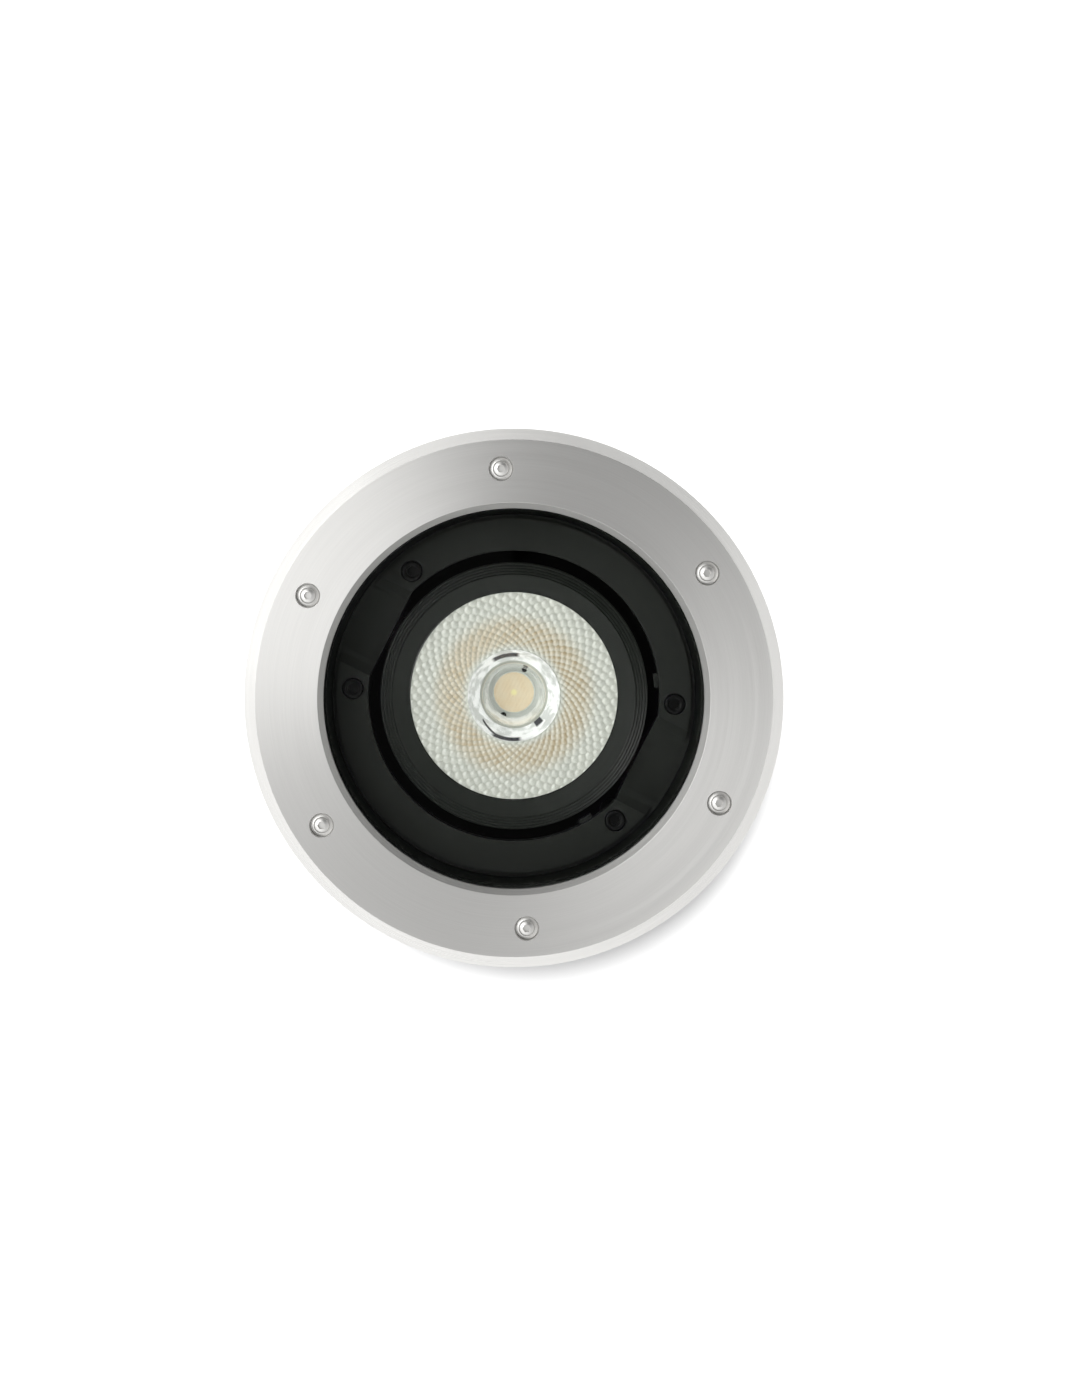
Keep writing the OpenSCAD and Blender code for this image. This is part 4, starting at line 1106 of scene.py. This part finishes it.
class SPOTLIGHT_OT_source(PieceOperator, bpy.types.Operator):
    """Light source with its holder"""

    bl_idname = "spotlight.source"
    bl_label = "Light source"

    def execute(self, context):
        r, low, high = reach("chip_glow"), bottom("chip_glow"), top("chip_glow")
        dam = 0.7 * MM
        disc = lathe(rounded([
            (0, low, 0), (r, low, 0), (r, high, 0.2 * MM), (r - dam, high, 0.2 * MM),
            (r - dam - 0.3 * MM, high - 0.25 * MM, 0), (0, high - 0.2 * MM, 0)]), 96)
        for face in disc.faces:
            face.material_index = 1 if face.calc_center_median().xy.length > r - dam else 0
        piece("phosphor_disc", disc, [phosphor(), coat("white_plastic")], "head",
              ["chip_glow"])
        pad_r, pad_circle, pad_turn = 1.3 * MM, 10.5 * MM, math.radians(92)
        pads = copies(
            lathe(rounded([
                (0, low, 0), (pad_r, low, 0), (pad_r, low + 0.25 * MM, 0.1 * MM),
                (0, low + 0.3 * MM, 0)]), 24),
            round_places(2, pad_circle, 0.0, pad_turn))
        piece("contact_pads", pads, [coat("black_oxide")], "head")
        dress("chip_ceramic", "chip_base")
        dress("white_plastic", "chip_holder")
        dress("zinc_plated", "chip_holder_screws")
        dress("thermal_silicone", "thermal_pad")
        return {"FINISHED"}


class SPOTLIGHT_OT_head_case(PieceOperator, bpy.types.Operator):
    """Cup, heat sink and pivots of the lamp head"""

    bl_idname = "spotlight.head_case"
    bl_label = "Head case"

    def execute(self, context):
        carried_piece("lamp_cup", "can", 0.4, powder_coat(), "head")
        carried_piece("cooling_fins", "heat_sink", 0.35, powder_coat(), "head")
        dress("zinc_plated", "pivot_pins", "heat_sink_screws")
        dress("friction_fibre", "friction_washers")
        dress("silicone_lead", "head_lead")
        return {"FINISHED"}


class SPOTLIGHT_OT_base(PieceOperator, bpy.types.Operator):
    """Cover, gasket and screws at the bottom"""

    bl_idname = "spotlight.base"
    bl_label = "Base"

    def execute(self, context):
        carried_piece("screwed_base", "base_cover", 0.4, powder_coat(), "housing")
        carried_piece(
            "base_cap_screws", "base_screws", 0.25, coat("zinc_plated"), "housing")
        dress("rubber_016", "base_gasket")
        return {"FINISHED"}


class SPOTLIGHT_OT_cable_entry(PieceOperator, bpy.types.Operator):
    """Cable gland and vent plug"""

    bl_idname = "spotlight.cable_entry"
    bl_label = "Cable entry"

    def execute(self, context):
        for node, name in (("gland_body", "gland_sleeve"), ("gland_nut", "gland_dome_nut"),
                           ("vent_plug", "vent_cap")):
            carried_piece(name, node, 0.5, coat("black_nylon"), "housing")
        dress("black_nylon", "gland_locknut")
        dress("rubber_014", "gland_washer", "vent_seal")
        dress("rubber_030", "gland_seal")
        return {"FINISHED"}


class SPOTLIGHT_OT_driver(PieceOperator, bpy.types.Operator):
    """Driver, terminals and leads inside the body"""

    bl_idname = "spotlight.driver"
    bl_label = "Driver"

    def execute(self, context):
        carried_piece(
            "driver_case", "driver", 0.8, coat("driver_plastic"), "housing", 3)
        dress("zinc_plated", "driver_bracket", "driver_screws")
        dress("terminal_plastic", "terminal_block")
        dress("plain_brass", "terminal_screws", "earth_screw")
        dress("brown_lead", "driver_wires")
        dress("silicone_lead", "lamp_lead")
        dress("rubber_014", "lead_grommet")
        return {"FINISHED"}


# Stage

# Each lamp's size, its angle in the picture and elevation in degrees, and its distance
LAMPS = {
    "key": (0.9, 152, 52, 1.1), "edge": (0.4, -30, 24, 1.0), "shadow": (0.3, 104, 81, 3.0),
}

# Share of the ceiling's grey by angle in the picture, from its right side
CEILING = (
    (-180, 0.8), (-150, 0.8), (-120, 0.8), (-85, 0.68), (-55, 0.45), (0, 0.4),
    (20, 0.35), (45, 0.05), (80, 0.05), (110, 0.5), (150, 0.8), (180, 0.8))


def picture_axes(turn):
    """The picture's right and up in the lamp's frame."""
    return Vector((math.cos(turn), math.sin(turn), 0)), Vector((-math.sin(turn), math.cos(turn), 0))


def add_camera(settings):
    """Looks down on the rim, a little from the picture's top."""
    right, up = picture_axes(settings.camera_turn)
    sine, cosine = math.sin(settings.camera_tilt), math.cos(settings.camera_tilt)
    back = up * sine + Vector((0, 0, cosine))
    above = up * cosine - Vector((0, 0, sine))
    data = bpy.data.cameras.new("camera")
    camera = bpy.data.objects.new("camera", data)
    bpy.context.scene.collection.objects.link(camera)
    target = Vector((0, 0, top("rim")))
    turned = Matrix((right, above, back)).transposed().to_4x4()
    camera.matrix_world = Matrix.Translation(target + back * settings.camera_distance) @ turned
    data.sensor_width = 36
    data.lens = settings.lens
    picture_w, picture_h = 1070, 1384
    rim_x, rim_y = 513.9, 699.7
    data.shift_x = (picture_w / 2 - rim_x) / picture_h
    data.shift_y = (rim_y - picture_h / 2) / picture_h
    data.clip_end = 20
    bpy.context.scene.camera = camera


def add_lamp(name, power, settings):
    """Square soft light that faces the rim. Its angle is seen in the picture, from the right side."""
    size, *angles, distance = LAMPS[name]
    picture_angle, elevation = (math.radians(angle) for angle in angles)
    right, up = picture_axes(settings.camera_turn)
    flat = right * math.cos(picture_angle) + up * math.sin(picture_angle)
    towards = flat * math.cos(elevation) + Vector((0, 0, math.sin(elevation)))
    data = bpy.data.lights.new(name, "AREA")
    data.shape = "SQUARE"
    data.size = size
    data.energy = power
    lamp = bpy.data.objects.new(name, data)
    bpy.context.scene.collection.objects.link(lamp)
    lamp.location = towards * distance
    lamp.rotation_euler = towards.to_track_quat("Z", "Y").to_euler()
    return lamp


def light_link(lamp, state, obj):
    """Lets a lamp light one object only, or all but that one."""
    chosen = bpy.data.collections.new(lamp.name)
    chosen.objects.link(obj)
    chosen.collection_objects[0].light_linking.link_state = state
    lamp.light_linking.receiver_collection = chosen
    return chosen


def add_floor(settings):
    """Pale floor that shows as white, fades into the room and keeps the lamp's shadow."""
    size = 8.0
    bm = bmesh.new()
    bmesh.ops.create_grid(
        bm, x_segments=2, y_segments=2, size=size / 2,
        matrix=Matrix.Translation((0, 0, cad_box[0][2])))
    material, tree, shader = new_material("floor", settings.floor_colour, 0.7)
    place = object_coordinates(tree)
    grain = use(tree, cast_grain(), coordinates=place, scale=80.0)
    feed(tree, shader["Roughness"], remap(tree, grain["Patches"], 0.3, 0.7, 0.65, 0.75))
    path = put(tree, "ShaderNodeLightPath").outputs
    seen = calc(tree, "MAXIMUM", path["Is Camera Ray"], path["Is Glossy Ray"])
    seen = calc(tree, "MAXIMUM", seen, path["Is Transmission Ray"])
    glow = put(tree, "ShaderNodeEmission")
    glow.inputs["Color"].default_value = (1, 1, 1, 1)
    both = put(tree, "ShaderNodeAddShader")
    radius = axis_distance(tree, place)[0]
    fade_start, fade_end, least = 0.3, 1.5, 0.04
    lift = remap(tree, radius, fade_start, fade_end, least, 1.0)
    feed(tree, glow.inputs["Strength"], calc(tree, "MULTIPLY", seen, lift))
    feed(tree, both.inputs[0], tree.nodes["Principled BSDF"].outputs[0])
    feed(tree, both.inputs[1], glow.outputs[0])
    feed(tree, tree.nodes["Material Output"].inputs["Surface"], both.outputs[0])
    floor = linked("floor", bm, [material])
    return floor


def add_world(settings):
    """White room whose ceiling is bright on one side, dark on the other and dim straight above."""
    world = bpy.data.worlds.new("room")
    bpy.context.scene.world = world
    world.use_nodes = True
    tree = world.node_tree
    background = tree.nodes["Background"].inputs
    place = put(tree, "ShaderNodeTexCoord").outputs["Generated"]
    height = put(tree, "ShaderNodeSeparateXYZ")
    feed(tree, height.inputs[0], place)
    sides = []
    for axis in picture_axes(settings.camera_turn):
        along = put(tree, "ShaderNodeVectorMath", operation="DOT_PRODUCT")
        feed(tree, along.inputs[0], place)
        along.inputs[1].default_value = axis
        sides.append(along.outputs["Value"])
    turn = calc(tree, "ARCTAN2", sides[1], sides[0])
    ramp = put(tree, "ShaderNodeValToRGB")
    feed(tree, ramp.inputs[0], remap(tree, turn, -math.pi, math.pi, kind="LINEAR"))
    stops = ramp.color_ramp.elements
    for degrees, grey in CEILING[1:-1]:
        stops.new((degrees + 180) / 360)
    for stop, (degrees, grey) in zip(stops, CEILING):
        stop.position = (degrees + 180) / 360
        stop.color = (grey, grey, grey, 1.0)
    ceiling = calc(tree, "MULTIPLY", ramp.outputs["Color"], settings.ceiling)
    straight_up = remap(tree, height.outputs["Z"], 0.972, 0.99, 1.0, settings.overhead)
    ceiling = calc(tree, "MULTIPLY", ceiling, straight_up)
    wall = remap(tree, height.outputs["Z"], 0.2, 0.55, 1.0, 0.0)
    grey = put(tree, "ShaderNodeMix", data_type="FLOAT")
    feed(tree, grey.inputs["Factor"], wall)
    feed(tree, grey.inputs["A"], ceiling)
    feed(tree, grey.inputs["B"], settings.wall)
    feed(tree, background["Strength"], grey.outputs["Result"])
    background["Color"].default_value = (1.0, 1.0, 1.0, 1.0)


class SPOTLIGHT_OT_stage(PieceOperator, bpy.types.Operator):
    """Floor, lights and camera"""

    bl_idname = "spotlight.stage"
    bl_label = "Stage"

    def execute(self, context):
        settings = context.scene.spotlight_stage
        context.scene.view_settings.view_transform = "Standard"
        add_camera(settings)
        floor = add_floor(settings)
        add_world(settings)
        key = add_lamp("key", settings.key_power, settings)
        light_link(key, "EXCLUDE", floor)
        edge = add_lamp("edge", settings.edge_power, settings)
        ring = bpy.data.objects["grooved_ring"]
        edge.light_linking.blocker_collection = light_link(edge, "INCLUDE", ring)
        shadow = add_lamp("shadow", settings.shadow_power, settings)
        light_link(shadow, "INCLUDE", floor)
        return {"FINISHED"}


SETTINGS = {
    "spotlight_rim": RimSettings, "spotlight_head": HeadSettings,
    "spotlight_optic": OpticSettings, "spotlight_stage": StageSettings,
}
OPERATORS = [
    SPOTLIGHT_OT_rim, SPOTLIGHT_OT_rim_screws, SPOTLIGHT_OT_glass, SPOTLIGHT_OT_body,
    SPOTLIGHT_OT_cradle, SPOTLIGHT_OT_front_ring, SPOTLIGHT_OT_optic, SPOTLIGHT_OT_source,
    SPOTLIGHT_OT_head_case, SPOTLIGHT_OT_base, SPOTLIGHT_OT_cable_entry, SPOTLIGHT_OT_driver,
    SPOTLIGHT_OT_stage,
]


class SPOTLIGHT_PT_panel(bpy.types.Panel):
    """Lists the lamp's pieces and their settings"""

    bl_idname = "SPOTLIGHT_PT_panel"
    bl_label = "Spotlight"
    bl_space_type = "VIEW_3D"
    bl_region_type = "UI"
    bl_category = "Spotlight"

    def draw(self, context):
        for operator in OPERATORS:
            self.layout.operator(operator.bl_idname)
        for name, group in SETTINGS.items():
            box = self.layout.box()
            for field in group.__annotations__:
                box.prop(getattr(context.scene, name), field)


def register():
    for made in (*SETTINGS.values(), *OPERATORS, SPOTLIGHT_PT_panel):
        bpy.utils.register_class(made)
    for name, group in SETTINGS.items():
        setattr(bpy.types.Scene, name, PointerProperty(type=group))


def unregister():
    for name in SETTINGS:
        delattr(bpy.types.Scene, name)
    for made in (SPOTLIGHT_PT_panel, *OPERATORS, *SETTINGS.values()):
        bpy.utils.unregister_class(made)


def main():
    register()
    for operator in OPERATORS:
        space, action = operator.bl_idname.split(".")
        getattr(getattr(bpy.ops, space), action)()


if __name__ == "__main__":
    main()
